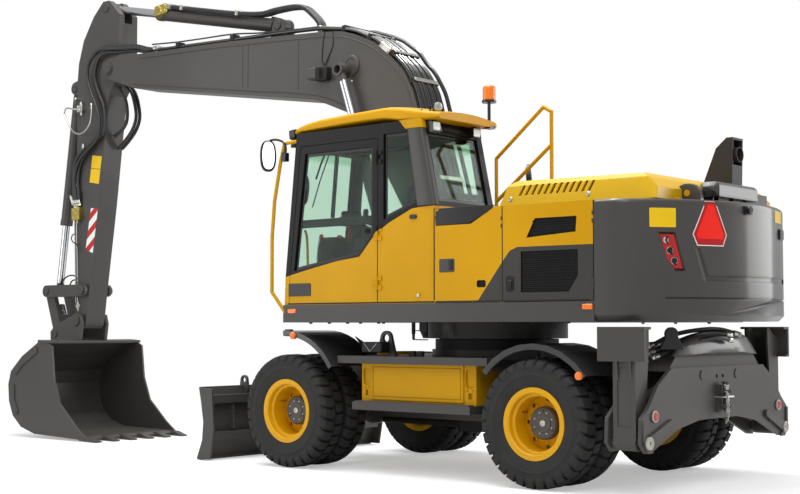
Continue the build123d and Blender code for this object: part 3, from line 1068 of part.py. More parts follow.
MIRROR_X = FRONT_X + 110
RIGHT_MIRROR_X = SLEW_X + 560
left_stay = rod_between((FRONT_X + 20, RAIL_Y + RAIL_R, 2870), (MIRROR_X, MIRROR_Y - 5, 2900), 12)
right_stay = rod_between((RIGHT_MIRROR_X, 70 - HALF_WIDTH, SIDE_TOP_Z - 60), (RIGHT_MIRROR_X, 70 - HALF_WIDTH, 2790), 15)
right_stay += rod_between((RIGHT_MIRROR_X, 70 - HALF_WIDTH, 2780), (RIGHT_MIRROR_X, -RAIL_Y, 2780), 12)
left_head = mirror_head(MIRROR_X, MIRROR_Y, 2920) + left_stay
right_head = mirror_head(RIGHT_MIRROR_X, -MIRROR_Y, 2850) + right_stay
keep("mirrors", [left_head - handrails()[0], right_head])


BEACON_X = CAB_REAR_X + 10
BEACON_Y = 450
WORK_LAMPS = ((CAB_REAR_X + 100, 1140, -1), (CAB_REAR_X + 100, 560, -1), (FRONT_X - 40, 1120, 1), (FRONT_X - 40, 500, 1))


TAIL_LAMPS = ((962, 1985), (934, 1902), (908, 1820))


def lamps():
    """Beacon on its stem, work lamps under the roof's ends, and the round tail lamps in the weight's pockets."""
    foot = plate_xz([(BEACON_X - 40, 3100), (CAB_REAR_X + 39.7, 3100), (CAB_REAR_X + 39.7, 3150), (BEACON_X - 40, 3126)],
                    BEACON_Y - 40, BEACON_Y + 40)
    stem = round_z(BEACON_X, BEACON_Y, 15, 3110, 3345)
    dome = round_z(BEACON_X, BEACON_Y, 66, 3340, 3362) + round_z(BEACON_X, BEACON_Y, 58, 3362, 3500)
    dome = fillet(dome.edges().filter_by(lambda e: abs(e.center().Z - 3500) < 1), 30)
    made = [foot + stem + dome]
    for x, y, facing in WORK_LAMPS:
        top = 3119.7
        shell = plate_xz([(x - 45 * facing, top - 20), (x + 30 * facing, top - 20), (x + 42 * facing, top - 112),
                          (x - 12 * facing, top - 112)], y - 58, y + 58, 10)
        hollow = plate_xz([(x + 24 * facing, top - 28), (x + 60 * facing, top - 28), (x + 60 * facing, top - 104),
                           (x + 34 * facing, top - 104)], y - 50, y + 50)
        made.append(shell - hollow + block(x - 20, x + 20, y - 12, y + 12, top - 22, top))
    centre_x = TAIL_X + TAIL_CURVE_R
    for side in (-1, 1):
        for y, z in TAIL_LAMPS:
            depth_x = centre_x - math.sqrt((TAIL_CURVE_R - 49.7) ** 2 - y ** 2)
            out_x = centre_x - math.sqrt((TAIL_CURVE_R - 16) ** 2 - y ** 2)
            lamp = round_x(side * y, z, 30, out_x, depth_x + 60)
            made.append(lamp & round_z(centre_x, 0, TAIL_CURVE_R + 100, 1700, 2100) - round_z(centre_x, 0, TAIL_CURVE_R - 49.7, 1700, 2100))
    return made


keep("lamps", lamps())


# Boom, arm and bucket
BOOM_OUTLINE = [
    (-85, -60), (-100, 60), (330, 1560), (410, 1800), (520, 1990), (700, 2170), (910, 2330), (1180, 2450),
    (1350, 2500), (1680, 2535), (3010, 2615), (4540, 2670), (4900, 2700), (5120, 2680), (5235, 2640), (5235, 2480),
    (4650, 2280), (2800, 2000), (1700, 1830), (1270, 1660), (1010, 1430), (90, -70), (0, -100),
]


BOOM_LAMP = (REAR_AXLE_X + 3350, 3900)


def boom():
    beam = plate_xz(from_pin(BOOM_FOOT, BOOM_OUTLINE), -BOOM_HALF_W, BOOM_HALF_W)
    foot = round_y(BOOM_FOOT[0], BOOM_FOOT[1], 100, -BOOM_HALF_W, BOOM_HALF_W)
    beam += foot
    beam -= round_y(BOOM_FOOT[0], BOOM_FOOT[1], PIN_R + FIT, -BOOM_HALF_W - 1, BOOM_HALF_W + 1)
    nose_gap = ARM_HALF_W + GAP
    beam -= plate_xz(from_pin(BOOM_NOSE, [(-330, -400), (-330, 20), (-450, 60), (-450, 500), (400, 500), (400, -400)]),
                     -nose_gap, nose_gap)
    for side in (-1, 1):
        beam += bored_link((BOOM_NOSE[0] - 400, BOOM_NOSE[1] - 20), BOOM_NOSE, 150, 115, side * nose_gap, side * BOOM_HALF_W)
    beam += round_y(BOOM_NOSE[0], BOOM_NOSE[1], PIN_R + 8, -BOOM_HALF_W, BOOM_HALF_W)
    # Boom-cylinder pins stand out of both sides
    boss_y = BOOM_CYL_Y - BOOM_EYE_HALF_W - 2 * GAP
    beam += round_y(BOOM_CYL_EYE[0], BOOM_CYL_EYE[1], 70, -boss_y, boss_y)
    for side in (-1, 1):
        beam += bored_link(ARM_CYL_BASE, (ARM_CYL_BASE[0] + 10, ARM_CYL_BASE[1] - 160), 80, 105,
                           side * (50 + GAP), side * (50 + GAP + 30))
    beam += round_y(ARM_CYL_BASE[0], ARM_CYL_BASE[1], PIN_R, -80, 80)
    for side in (-1, 1):
        collar = round_y(BOOM_FOOT[0], BOOM_FOOT[1], 118, side * (BOOM_HALF_W - 12), side * (BOOM_HALF_W + 3))
        beam += collar - round_y(BOOM_FOOT[0], BOOM_FOOT[1], PIN_R + FIT, -BOOM_HALF_W - 9, BOOM_HALF_W + 9)
        beam += round_y(BOOM_NOSE[0], BOOM_NOSE[1], 78, side * BOOM_HALF_W, side * (BOOM_HALF_W + 16))
    # Work lamp on the left flank
    lamp_x, lamp_z = BOOM_LAMP
    beam += block(lamp_x - 30, lamp_x + 30, BOOM_HALF_W, BOOM_HALF_W + 40, lamp_z - 20, lamp_z + 20)
    shell = block(lamp_x - 45, lamp_x + 65, BOOM_HALF_W + 30, BOOM_HALF_W + 140, lamp_z - 60, lamp_z + 60)
    beam += fillet(shell.edges().filter_by(Axis.X), 22) - block(lamp_x + 55, lamp_x + 80, BOOM_HALF_W + 40, BOOM_HALF_W + 130,
                                                               lamp_z - 50, lamp_z + 50)
    return beam


keep("boom", boom())

ARM_OUTLINE = [
    (-120, 320), (-120, 660), (80, 850), (190, 850), (370, 690), (560, 420), (650, 150), (680, -150), (640, -1900),
    (600, -2600), (640, -2960), (600, -3080), (480, -3080), (440, -2980), (400, -2700), (225, -1570), (60, -300),
    (-60, -130), (-130, 0),
]


def arm():
    beam = plate_xz(from_pin(BOOM_NOSE, ARM_OUTLINE), -ARM_HALF_W, ARM_HALF_W)
    beam -= round_y(BOOM_NOSE[0], BOOM_NOSE[1], PIN_R + 8 + FIT, -ARM_HALF_W - 1, ARM_HALF_W + 1)
    # Slot for the arm cylinder's rod eye
    beam -= plate_xz(from_pin(ARM_CYL_EYE, [(-400, -190), (-400, 300), (500, 300), (500, -250), (100, -250)]),
                     -50 - GAP, 50 + GAP)
    # Tip boss and pin, rocker boss and pin
    beam += round_y(ARM_TIP[0], ARM_TIP[1], 95, -ARM_HALF_W, ARM_HALF_W)
    beam += round_y(ARM_TIP[0], ARM_TIP[1], PIN_R, -215, 215)
    beam += round_y(ROCKER_PIN[0], ROCKER_PIN[1], PIN_R, -215, 215)
    # Ears of the bucket cylinder's base
    for side in (-1, 1):
        beam += bored_link(BUCKET_CYL_BASE, (BUCKET_CYL_BASE[0] - 230, BUCKET_CYL_BASE[1] + 10), 75, 120,
                           side * (45 + GAP), side * (45 + GAP + 28))
    beam += round_y(BUCKET_CYL_BASE[0], BUCKET_CYL_BASE[1], PIN_R, -75, 75)
    return beam


keep("arm", arm())


def rocker():
    """Two side plates on the arm's pin, tied by a cross tube, with stub pins for the link."""
    plates = []
    for side in (-1, 1):
        bar = bored_link(ROCKER_PIN, LINK_PIN, 72, 72, side * 165, side * 205)
        bar -= round_y(ROCKER_PIN[0], ROCKER_PIN[1], PIN_R + FIT, side * 160, side * 210)
        bar += round_y(LINK_PIN[0], LINK_PIN[1], PIN_R, side * 102, side * 205)
        plates.append(bar)
    tie_at = 0.64
    tie_x = ROCKER_PIN[0] + tie_at * (LINK_PIN[0] - ROCKER_PIN[0])
    tie_z = ROCKER_PIN[1] + tie_at * (LINK_PIN[1] - ROCKER_PIN[1])
    return plates[0] + plates[1] + round_y(tie_x, tie_z, 40, -205, 205)


keep("rocker", rocker())


def push_link():
    body = Part()
    for side in (-1, 1):
        body += bored_link(LINK_PIN, BUCKET_LINK_PIN, 75, 75, side * 102, side * 158)
    body += round_y(BUCKET_LINK_PIN[0], BUCKET_LINK_PIN[1], 75, -158, 158)
    middle = ((LINK_PIN[0] + 2 * BUCKET_LINK_PIN[0]) / 3, (LINK_PIN[1] + 2 * BUCKET_LINK_PIN[1]) / 3)
    body += bored_link(middle, BUCKET_LINK_PIN, 60, 60, -158, 158)
    body -= round_y(LINK_PIN[0], LINK_PIN[1], PIN_R + FIT, -160, 160)
    return body


keep("push_link", push_link())

BUCKET_SIDE = [(-60, -250), (80, -240), (420, -420), (640, -600), (690, -760), (670, -960), (590, -1130),
               (420, -1260), (150, -1330), (-200, -1340), (-830, -1360), (-830, -1340), (-500, -1200), (-260, -1000),
               (-130, -700)]


BUCKET_STRIPS = (
    [(120, -300), (430, -470), (560, -600), (520, -640), (400, -530), (100, -370)],
    [(560, -760), (600, -760), (590, -960), (500, -1110), (470, -1080), (550, -940)],
)


def bucket():
    """A welded shell: curved back and floor between two side plates, with ears and teeth."""
    wall = 28
    outer = plate_xz(from_pin(ARM_TIP, BUCKET_SIDE), -BUCKET_HALF_W, BUCKET_HALF_W)
    hollow_points = [(-60 - 300, -250 - wall), (80, -240 - wall), (405, -450), (610, -615), (660, -765), (641, -950),
                     (568, -1108), (408, -1233), (147, -1302), (-200, -1311), (-1000, -1318), (-1000, -250)]
    hollow = plate_xz(from_pin(ARM_TIP, hollow_points), -BUCKET_HALF_W + 25, BUCKET_HALF_W - 25)
    shell = outer - hollow
    for side in (-1, 1):
        ear = plate_xz(from_pin(ARM_TIP, [(-95, -30), (-60, 75), (30, 95), (110, 60), (430, -50), (520, -130),
                                          (510, -230), (430, -430), (80, -250), (-60, -255)]),
                       side * 165, side * 205)
        ear -= round_y(ARM_TIP[0], ARM_TIP[1], PIN_R + FIT, side * 160, side * 210)
        shell += ear
        cutter = plate_xz(from_pin(ARM_TIP, [(-60, -250), (-130, -700), (-260, -1000), (-500, -1200), (-760, -1338), (-830, -1338),
                                             (-640, -1215), (-330, -960), (-215, -690), (-165, -300)]),
                          side * (BUCKET_HALF_W - 25), side * BUCKET_HALF_W)
        shell += cutter
        for angle_points in BUCKET_STRIPS:
            shell += plate_xz(from_pin(ARM_TIP, angle_points), side * BUCKET_HALF_W, side * (BUCKET_HALF_W + 14))
    lip = plate_xz(from_pin(ARM_TIP, [(-100, -235), (85, -222), (85, -252), (-100, -262)]), -BUCKET_HALF_W - 16, BUCKET_HALF_W + 16)
    shell += lip
    for y in (-420, -140, 140, 420):
        shell += plate_xz(from_pin(ARM_TIP, [(640, -600), (700, -755), (680, -965), (600, -1140), (430, -1272), (150, -1344),
                                             (150, -1326), (415, -1256), (585, -1128), (665, -960), (684, -760), (634, -606)]), y - 40, y + 40)
    teeth = 6
    for i in range(teeth):
        y = -BUCKET_HALF_W + 45 + i * (2 * BUCKET_HALF_W - 90) / (teeth - 1)
        tooth = plate_xz(from_pin(ARM_TIP, [(-700, -1316), (-700, -1368), (-1010, -1376), (-1010, -1366), (-860, -1322)]),
                         y - 45, y + 45)
        shell += tooth
    return shell


keep("bucket", bucket())

os.makedirs("parts", exist_ok=True)
for node, shape in PARTS.items():
    export_step(shape, os.path.join("parts", node + ".step"))
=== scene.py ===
"""A wheeled excavator as it stands on a pale studio floor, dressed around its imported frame."""
import math

import bmesh
import bpy
from mathutils import Matrix, Vector
from mathutils.bvhtree import BVHTree


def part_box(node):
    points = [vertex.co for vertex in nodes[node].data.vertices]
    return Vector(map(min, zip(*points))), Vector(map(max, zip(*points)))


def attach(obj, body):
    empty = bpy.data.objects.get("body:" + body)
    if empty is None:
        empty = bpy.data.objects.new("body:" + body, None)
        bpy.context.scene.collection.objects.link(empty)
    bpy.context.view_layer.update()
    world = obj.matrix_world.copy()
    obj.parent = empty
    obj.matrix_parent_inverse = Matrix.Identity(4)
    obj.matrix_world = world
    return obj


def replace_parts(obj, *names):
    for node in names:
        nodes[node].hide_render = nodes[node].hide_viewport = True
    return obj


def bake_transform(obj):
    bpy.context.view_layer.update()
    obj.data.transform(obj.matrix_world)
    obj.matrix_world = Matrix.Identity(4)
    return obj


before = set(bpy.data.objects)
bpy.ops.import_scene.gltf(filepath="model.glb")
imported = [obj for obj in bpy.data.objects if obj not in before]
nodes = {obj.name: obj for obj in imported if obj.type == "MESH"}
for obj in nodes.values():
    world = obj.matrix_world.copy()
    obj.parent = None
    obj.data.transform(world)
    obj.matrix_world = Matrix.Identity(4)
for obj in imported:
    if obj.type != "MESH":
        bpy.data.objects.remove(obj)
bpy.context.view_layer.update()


# Undercarriage frame, axles and driveline: welded steel plate under satin enamel, sprayed on in
# one coat, so that it shines softly and has the faint skin of an orange on its flat sides.
def linear(code):
    """An sRGB hex value as a linear colour."""
    parts = [int(code[i:i + 2], 16) / 255 for i in (1, 3, 5)]
    return tuple(c / 12.92 if c <= 0.04045 else ((c + 0.055) / 1.055) ** 2.4 for c in parts) + (1.0,)


def add(tree, kind, inputs=None, **settings):
    """A node with its settings, and its inputs as values or as links."""
    node = tree.nodes.new(kind)
    for name, value in settings.items():
        setattr(node, name, value)
    for name, value in (inputs or {}).items():
        socket = node.inputs[name]
        if isinstance(value, bpy.types.NodeSocket):
            tree.links.new(value, socket)
        else:
            socket.default_value = value
    return node


def start_material(name):
    """An empty material with its output, and the rest place of each point on the machine."""
    material = bpy.data.materials.new(name)
    material.use_nodes = True
    tree = material.node_tree
    tree.nodes.clear()
    out = add(tree, "ShaderNodeOutputMaterial")
    place = add(tree, "ShaderNodeTexCoord").outputs["Object"]
    return material, tree, out, place


def bumped(tree, out, height, strength, distance, sockets, edge=0.0):
    """The shader of a material from its sockets, with a texture's height as relief over softened edges."""
    relief = {"Height": height, "Strength": strength, "Distance": distance}
    if edge:
        relief["Normal"] = add(tree, "ShaderNodeBevel", {"Radius": edge}, samples=4).outputs[0]
    bump = add(tree, "ShaderNodeBump", relief)
    shader = add(tree, "ShaderNodeBsdfPrincipled", sockets | {"Normal": bump.outputs[0]})
    tree.links.new(shader.outputs[0], out.inputs[0])


def enamel(name, code, roughness, coat, peel_mm=2.2, peel=0.05, dust=0.0, second=None, inside=None,
        edge_mm=3.0, shine=0.3):
    """Sprayed enamel: orange peel, slow changes of tone, softened edges and some dust on what faces up.

    second gives another colour and a function that makes its mask from the place; inside makes the mask of
    what is black.
    """
    material, tree, out, place = start_material(name)
    cloud = add(tree, "ShaderNodeTexNoise", {"Vector": place, "Scale": 1.3, "Detail": 3.0})
    tone = add(tree, "ShaderNodeMapRange", {"Value": cloud.outputs["Fac"], "From Min": 0.3, "From Max": 0.7,
        "To Min": 0.94, "To Max": 1.05})
    colour = add(tree, "ShaderNodeRGB")
    colour.outputs[0].default_value = linear(code)
    shown = colour.outputs[0]
    if second:
        shown = add(tree, "ShaderNodeMix", {"Factor": second[1](tree, place), 6: shown, 7: linear(second[0])},
            data_type="RGBA").outputs[2]
    if inside:
        shown = add(tree, "ShaderNodeMix", {"Factor": inside(tree, place), 6: shown, 7: linear("#151515")},
            data_type="RGBA").outputs[2]
    toned = add(tree, "ShaderNodeVectorMath", {0: shown, 1: tone.outputs[0]}, operation="MULTIPLY").outputs[0]
    if dust:
        up = add(tree, "ShaderNodeSeparateXYZ",
            {0: add(tree, "ShaderNodeNewGeometry").outputs["Normal"]}).outputs[2]
        grit = add(tree, "ShaderNodeTexNoise", {"Vector": place, "Scale": 9.0, "Detail": 6.0}).outputs["Fac"]
        lying = add(tree, "ShaderNodeMapRange", {"Value": up, "From Min": 0.2, "From Max": 1.0,
            "To Max": dust}).outputs[0]
        film = add(tree, "ShaderNodeMath", {0: lying, 1: grit}, operation="MULTIPLY").outputs[0]
        toned = add(tree, "ShaderNodeMix", {"Factor": film, 6: toned, 7: linear("#A79F92")},
            data_type="RGBA").outputs[2]
    skin = add(tree, "ShaderNodeTexNoise", {"Vector": place, "Scale": 1000 / peel_mm / 2, "Detail": 1.0})
    bumped(tree, out, skin.outputs["Fac"], peel, 0.0008, {"Base Color": toned, "Roughness": roughness,
        "Specular IOR Level": shine, "Coat Weight": coat, "Coat Roughness": 0.12}, edge_mm / 1000)
    return material


def dress(material, *names):
    """Give whole CAD nodes one material."""
    for name in names:
        mesh = nodes[name].data
        mesh.materials.clear()
        mesh.materials.append(material)


grey_enamel = enamel("satin_enamel_dark_grey", "#444240", 0.42, 0.15, dust=0.10)
dress(grey_enamel, "chassis_frame", "front_axle", "rear_axle", "knuckle_left", "knuckle_right", "side_steps",
    "stabiliser_carrier", "stabiliser_left", "stabiliser_right")
shaft_enamel = enamel("satin_enamel_black", "#232323", 0.5, 0.0)
dress(shaft_enamel, "driveline", "slew_ring")


# Wheels: two tyres on each pair of rims. The tyres are moulded rubber with deep cross bars, dull black
# and a little dusty in their grooves; the rims are pressed steel in yellow enamel, the hub is grey.
CORNERS = ("front_left", "front_right", "rear_left", "rear_right")
AXLES_X = [sum(c[0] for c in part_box("rims_" + end)) / 2 for end in ("front_left", "rear_left")]
AXLE_Z = sum(c[2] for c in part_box("rims_front_left")) / 2
BARS = 31
BAR_HALF_LENGTH = 0.036
BAR_SLANT = 0.030
BAR_RADIUS = 0.515

rubber, tree, out, place = start_material("moulded_tyre_rubber")
grain = add(tree, "ShaderNodeTexNoise", {"Vector": place, "Scale": 240.0, "Detail": 4.0})
patch = add(tree, "ShaderNodeTexNoise", {"Vector": place, "Scale": 7.0, "Detail": 5.0})
worn = add(tree, "ShaderNodeMapRange", {"Value": patch.outputs["Fac"], "From Min": 0.35, "From Max": 0.75,
    "To Min": 0.0, "To Max": 0.35})
tint = add(tree, "ShaderNodeMix", {"Factor": worn.outputs[0], 6: linear("#1D1D1D"), 7: linear("#34322F")},
    data_type="RGBA").outputs[2]
bumped(tree, out, grain.outputs["Fac"], 0.25, 0.001, {"Base Color": tint, "Roughness": 0.72,
    "Specular IOR Level": 0.45}, 0.004)

TREAD_TOP = ((0.012, 0.527), (0.050, 0.5275), (0.094, 0.524), (0.118, 0.514), (0.131, 0.494), (0.137, 0.468),
    (0.135, 0.446))
TREAD_BASE = ((0.012, 0.499), (0.050, 0.499), (0.094, 0.496), (0.112, 0.488), (0.122, 0.474), (0.129, 0.456),
    (0.131, 0.440))
SIDEWALL = ((0.131, 0.440), (0.133, 0.418), (0.134, 0.402), (0.1365, 0.398), (0.1365, 0.392), (0.134, 0.388),
    (0.131, 0.362), (0.125, 0.335), (0.116, 0.312), (0.108, 0.299), (0.104, 0.290), (0.104, 0.262))


def ring_faces(mesh, rows, turns, close=False):
    """Quads between rows of vertices that go round an axis."""
    count = len(rows)
    for i in range(count if close else count - 1):
        for j in range(turns):
            mesh.faces.new((rows[i][j], rows[(i + 1) % count][j], rows[(i + 1) % count][(j + 1) % turns],
                rows[i][(j + 1) % turns]))


def lathe(mesh, profile, turns, close=False):
    """Turn a profile of (along, radius) about the Y axis."""
    rows = []
    for y, r in profile:
        angles = [2 * math.pi * k / turns for k in range(turns)]
        rows.append([mesh.verts.new((r * math.sin(a), y, r * math.cos(a))) for a in angles])
    ring_faces(mesh, rows, turns, close)


def tyre_bars(mesh, middle_y):
    """The cross bars: a slanting block on each half of the tread, half a pitch apart, over the shoulder."""
    pitch = 2 * math.pi / BARS
    for half in (1, -1):
        for bar in range(BARS):
            start = pitch * (bar + (0.5 if half < 0 else 0))
            rows = []
            for i, ((yt, rt), (yb, rb)) in enumerate(zip(TREAD_TOP, TREAD_BASE)):
                slant = BAR_SLANT * min(i, 4) / 4 + (0.012 if i == 0 else 0)
                swell = (0.0, 0.004, 0.006, 0.004, 0.0, -0.002, -0.004)[i]
                row = []
                for y, r, half_length in ((yb, rb - 0.004, BAR_HALF_LENGTH + 0.006 + swell),
                        (yt, rt, BAR_HALF_LENGTH - 0.002 + swell), (yt, rt,
                        -(BAR_HALF_LENGTH - 0.002 + swell)), (yb, rb - 0.004,
                        -(BAR_HALF_LENGTH + 0.006 + swell))):
                    a = start + (half_length + slant) / BAR_RADIUS
                    row.append(mesh.verts.new((r * math.sin(a), middle_y + half * y, r * math.cos(a))))
                rows.append(row)
            for a, b in zip(rows, rows[1:]):
                for k in range(3):
                    quad = (a[k], a[k + 1], b[k + 1], b[k])
                    mesh.faces.new(quad if half < 0 else quad[::-1])
            mesh.faces.new(rows[0] if half > 0 else rows[0][::-1])
            mesh.faces.new(rows[-1] if half < 0 else rows[-1][::-1])


def in_scene(name, data):
    """An object of some data, linked to the scene."""
    made = bpy.data.objects.new(name, data)
    bpy.context.scene.collection.objects.link(made)
    return made


def put(name, mesh, material, body, sharp=32):
    """A finished mesh as a piece in a material slot, riding on a body if it has one."""
    data = bpy.data.meshes.new(name)
    bmesh.ops.recalc_face_normals(mesh, faces=mesh.faces)
    for face in mesh.faces:
        face.smooth = True
    mesh.to_mesh(data)
    mesh.free()
    data.set_sharp_from_angle(angle=math.radians(sharp))
    data.materials.append(material)
    piece = in_scene(name, data)
    if body:
        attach(piece, body)
    return piece


low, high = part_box("tyres_front_left")
TYRE_HALF = 0.139
for corner in CORNERS:
    side = 1 if corner.endswith("left") else -1
    axle_x = AXLES_X[0] if corner.startswith("front") else AXLES_X[1]
    twin = bmesh.new()
    for middle in (high[1] - TYRE_HALF, low[1] + TYRE_HALF):
        wall = TREAD_BASE + SIDEWALL[1:]
        lathe(twin, [(middle - y, r) for y, r in wall[::-1]] + [(middle + y, r) for y, r in wall], 96,
            close=True)
        tyre_bars(twin, middle)
    bmesh.ops.transform(twin, verts=twin.verts, matrix=Matrix.Translation((axle_x, 0, AXLE_Z))
        @ Matrix.Diagonal((side, side, 1, 1)) @ Matrix.Rotation(0.37 * axle_x, 4, "Y"))
    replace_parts(put("tread_" + corner, twin, rubber, "wheel_" + corner), "tyres_" + corner)


def hub_mask(tree, place):
    """1 within the hub's radius of either axle."""
    xyz = add(tree, "ShaderNodeSeparateXYZ", {0: place}).outputs
    up = add(tree, "ShaderNodeMath", {0: xyz[2], 1: AXLE_Z}, operation="SUBTRACT").outputs[0]
    near = []
    for x in AXLES_X:
        ahead = add(tree, "ShaderNodeMath", {0: xyz[0], 1: x}, operation="SUBTRACT").outputs[0]
        flat = add(tree, "ShaderNodeCombineXYZ", {0: ahead, 1: up}).outputs[0]
        away = add(tree, "ShaderNodeVectorMath", {0: flat}, operation="LENGTH").outputs["Value"]
        near.append(add(tree, "ShaderNodeMath", {0: away, 1: 0.1365}, operation="LESS_THAN").outputs[0])
    return add(tree, "ShaderNodeMath", {0: near[0], 1: near[1]}, operation="MAXIMUM").outputs[0]


rim_enamel = enamel("gloss_enamel_yellow_on_rims", "#D9A004", 0.34, 0.0, second=("#565350", hub_mask),
    edge_mm=2.5)
dress(rim_enamel, *["rims_" + corner for corner in CORNERS])

# Body panels: pressed sheet in yellow gloss enamel; the rear of the sides is dark grey below a slanting
# line that runs over two panels, and everything deeper than the outer skin is black.
REAR_AXLE_X = AXLES_X[1]
SKIN_Y = 1.270


def spot(ahead, y, z):
    """A point measured ahead of the rear axle."""
    return Vector((REAR_AXLE_X + ahead, y, z))


def above_line(tree, place, points):
    """1 above a line of (ahead of the rear axle, height), fading over 2 mm."""
    xyz = add(tree, "ShaderNodeSeparateXYZ", {0: place}).outputs
    ahead = add(tree, "ShaderNodeMath", {0: xyz[0], 1: REAR_AXLE_X}, operation="SUBTRACT").outputs[0]
    points = sorted(points)
    first, last = points[0][0], points[-1][0]
    span = last - first
    along = add(tree, "ShaderNodeMapRange", {"Value": ahead, "From Min": first, "From Max": last}).outputs[0]
    curve = add(tree, "ShaderNodeFloatCurve", {"Value": along})
    line = curve.mapping.curves[0]
    lowest = min(z for _, z in points)
    highest = max(z for _, z in points) + 0.001
    for i, (x, z) in enumerate(points):
        at = ((x - first) / span, (z - lowest) / (highest - lowest))
        point = line.points[0 if i == 0 else 1] if i in (0, len(points) - 1) else line.points.new(*at)
        if i == 0:
            line.points[0].location = at
        elif i == len(points) - 1:
            line.points[len(line.points) - 1].location = at
        point.handle_type = "VECTOR"
    curve.mapping.update()
    height = add(tree, "ShaderNodeMapRange", {"Value": curve.outputs[0], "To Min": lowest,
        "To Max": highest}).outputs[0]
    over = add(tree, "ShaderNodeMath", {0: xyz[2], 1: height}, operation="SUBTRACT").outputs[0]
    return add(tree, "ShaderNodeMapRange", {"Value": over, "From Min": -0.001, "From Max": 0.001}).outputs[0]


REAR_SPLIT = ((-0.62, 1.961), (0.137, 1.963), (0.210, 1.936), (0.284, 1.849), (0.547, 1.518), (0.9, 1.08))
WAIST = ((0.9, 2.36), (1.18, 2.35), (1.27, 2.34), (1.53, 2.23), (1.69, 2.14), (1.88, 1.94), (2.15, 1.91),
    (2.52, 1.84), (2.80, 1.78), (3.0, 1.76))


def below_split(tree, place):
    """1 below the slanting line of the rear side panels."""
    over = above_line(tree, place, REAR_SPLIT)
    return add(tree, "ShaderNodeMath", {0: 1.0, 1: over}, operation="SUBTRACT").outputs[0]


def deep(tree, place):
    """1 where the surface lies behind the outer skin of a side."""
    across = add(tree, "ShaderNodeSeparateXYZ", {0: place}).outputs[1]
    wide = add(tree, "ShaderNodeMath", {0: across}, operation="ABSOLUTE")
    return add(tree, "ShaderNodeMath", {0: wide.outputs[0], 1: SKIN_Y - 0.004},
        operation="LESS_THAN").outputs[0]


def behind_hood(tree, place):
    """1 on the low cover behind the hood."""
    ahead = add(tree, "ShaderNodeSeparateXYZ", {0: place}).outputs[0]
    return add(tree, "ShaderNodeMath", {0: ahead, 1: REAR_AXLE_X - 1.075}, operation="LESS_THAN").outputs[0]


def lining(tree, place):
    """1 inside the cab."""
    xyz = add(tree, "ShaderNodeSeparateXYZ", {0: place}).outputs
    off = add(tree, "ShaderNodeMath", {0: xyz[1], 1: 0.8175}, operation="SUBTRACT").outputs[0]
    wide = add(tree, "ShaderNodeMath", {0: off}, operation="ABSOLUTE").outputs[0]
    within = add(tree, "ShaderNodeMath", {0: wide, 1: 0.4315}, operation="LESS_THAN").outputs[0]
    ahead = add(tree, "ShaderNodeMath", {0: xyz[0], 1: REAR_AXLE_X + 1.018},
        operation="GREATER_THAN").outputs[0]
    return add(tree, "ShaderNodeMath", {0: within, 1: ahead}, operation="MULTIPLY").outputs[0]


YELLOW = "#CB9601"
GREY = "#413F3D"
yellow_enamel = enamel("gloss_enamel_yellow", YELLOW, 0.34, 0.0, edge_mm=12, shine=0.16)
# The bonnet's yellow is painted lighter than the other panels' yellow: painted light, for the light that
# falls on its top.
dress(enamel("gloss_enamel_yellow_painted_lighter_bonnet", "#D9AC12", 0.30, 0.0, edge_mm=12, shine=0.4), "hood")
dress(yellow_enamel, "side_boxes", "handrails", "cab_roof", "right_tank")
dress(enamel("gloss_enamel_yellow_and_black_foot", YELLOW, 0.34, 0.0, shine=0.16, second=("#262626",
    behind_hood)), "hood_cowls")
dress(enamel("gloss_enamel_yellow_over_grey", YELLOW, 0.34, 0.0, shine=0.16, second=(GREY, below_split),
    inside=deep), "side_door_left_front", "side_door_left_rear", "side_door_right")
dress(enamel("gloss_enamel_yellow_under_grey", YELLOW, 0.34, 0.0, shine=0.16, second=("#1A1A1B", lambda tree,
    place: above_line(tree, place, WAIST)), inside=lining), "cab_door", "cab_frame")
dress(grey_enamel, "turntable", "side_walls")
weight_enamel = enamel("satin_enamel_on_cast_iron", GREY, 0.38, 0.5, peel_mm=5, peel=0.10, edge_mm=30)
dress(weight_enamel, "counterweight")
# The fenders' black base is lightened to a dark grey: a painted reflection that stands in for the shine of
# their gloss.
black_gloss_painted_reflection = enamel("gloss_enamel_black", "#353536", 0.22, 0.5, edge_mm=4, shine=0.5)
dress(black_gloss_painted_reflection, "fenders")
dress(enamel("matt_heat_enamel_dark", "#2E2B2A", 0.55, 0.0), "exhaust")
dress(shaft_enamel, "engine")


# Grilles in the side doors: steel sheet punched with six-sided holes and painted matt black, set just
# inside the skin of each door.
def facing(point, normal, up=(0, 0, 1)):
    """A place at a point, its Z along a normal and its Y as near to up as it can be."""
    z = Vector(normal).normalized()
    x = Vector(up).cross(z)
    if x.length < 0.01:
        x = Vector((0, 1, 0)).cross(z)
    x.normalize()
    return Matrix.Translation(point) @ Matrix((x, z.cross(x), z)).transposed().to_4x4()


def within(point, outline):
    """Whether a point lies within an outline."""
    odd = False
    for (x0, y0), (x1, y1) in zip(outline, outline[1:] + outline[:1]):
        if (y0 > point[1]) != (y1 > point[1]) and point[0] < (x1 - x0) * (point[1] - y0) / (y1 - y0) + x0:
            odd = not odd
    return odd


PITCH, DEPTH = 0.020, 0.008


def punched(mesh, side, outline):
    """Six-sided cells within an outline of (ahead, height) on one side of the machine, with inner walls."""
    wall = SKIN_Y - 0.0135
    rise = PITCH * math.sqrt(3) / 2
    low_x, high_x = min(p[0] for p in outline), max(p[0] for p in outline)
    low_z, high_z = min(p[1] for p in outline), max(p[1] for p in outline)
    for row in range(int((high_z - low_z) / rise) + 2):
        for column in range(int((high_x - low_x) / PITCH) + 2):
            x = low_x + PITCH * (column + 0.5 * (row % 2))
            z = low_z + rise * row
            if not within((x, z), outline):
                continue
            rings = []
            for radius, y in ((PITCH / math.sqrt(3), wall + DEPTH), (PITCH * 0.42, wall + DEPTH),
                    (PITCH * 0.42, wall)):
                rings.append([mesh.verts.new(spot(x + radius * math.sin(a), side * y, z + radius * 0.97
                    * math.cos(a))) for a in (math.radians(60 * k) for k in range(6))])
            ring_faces(mesh, rings, 6)


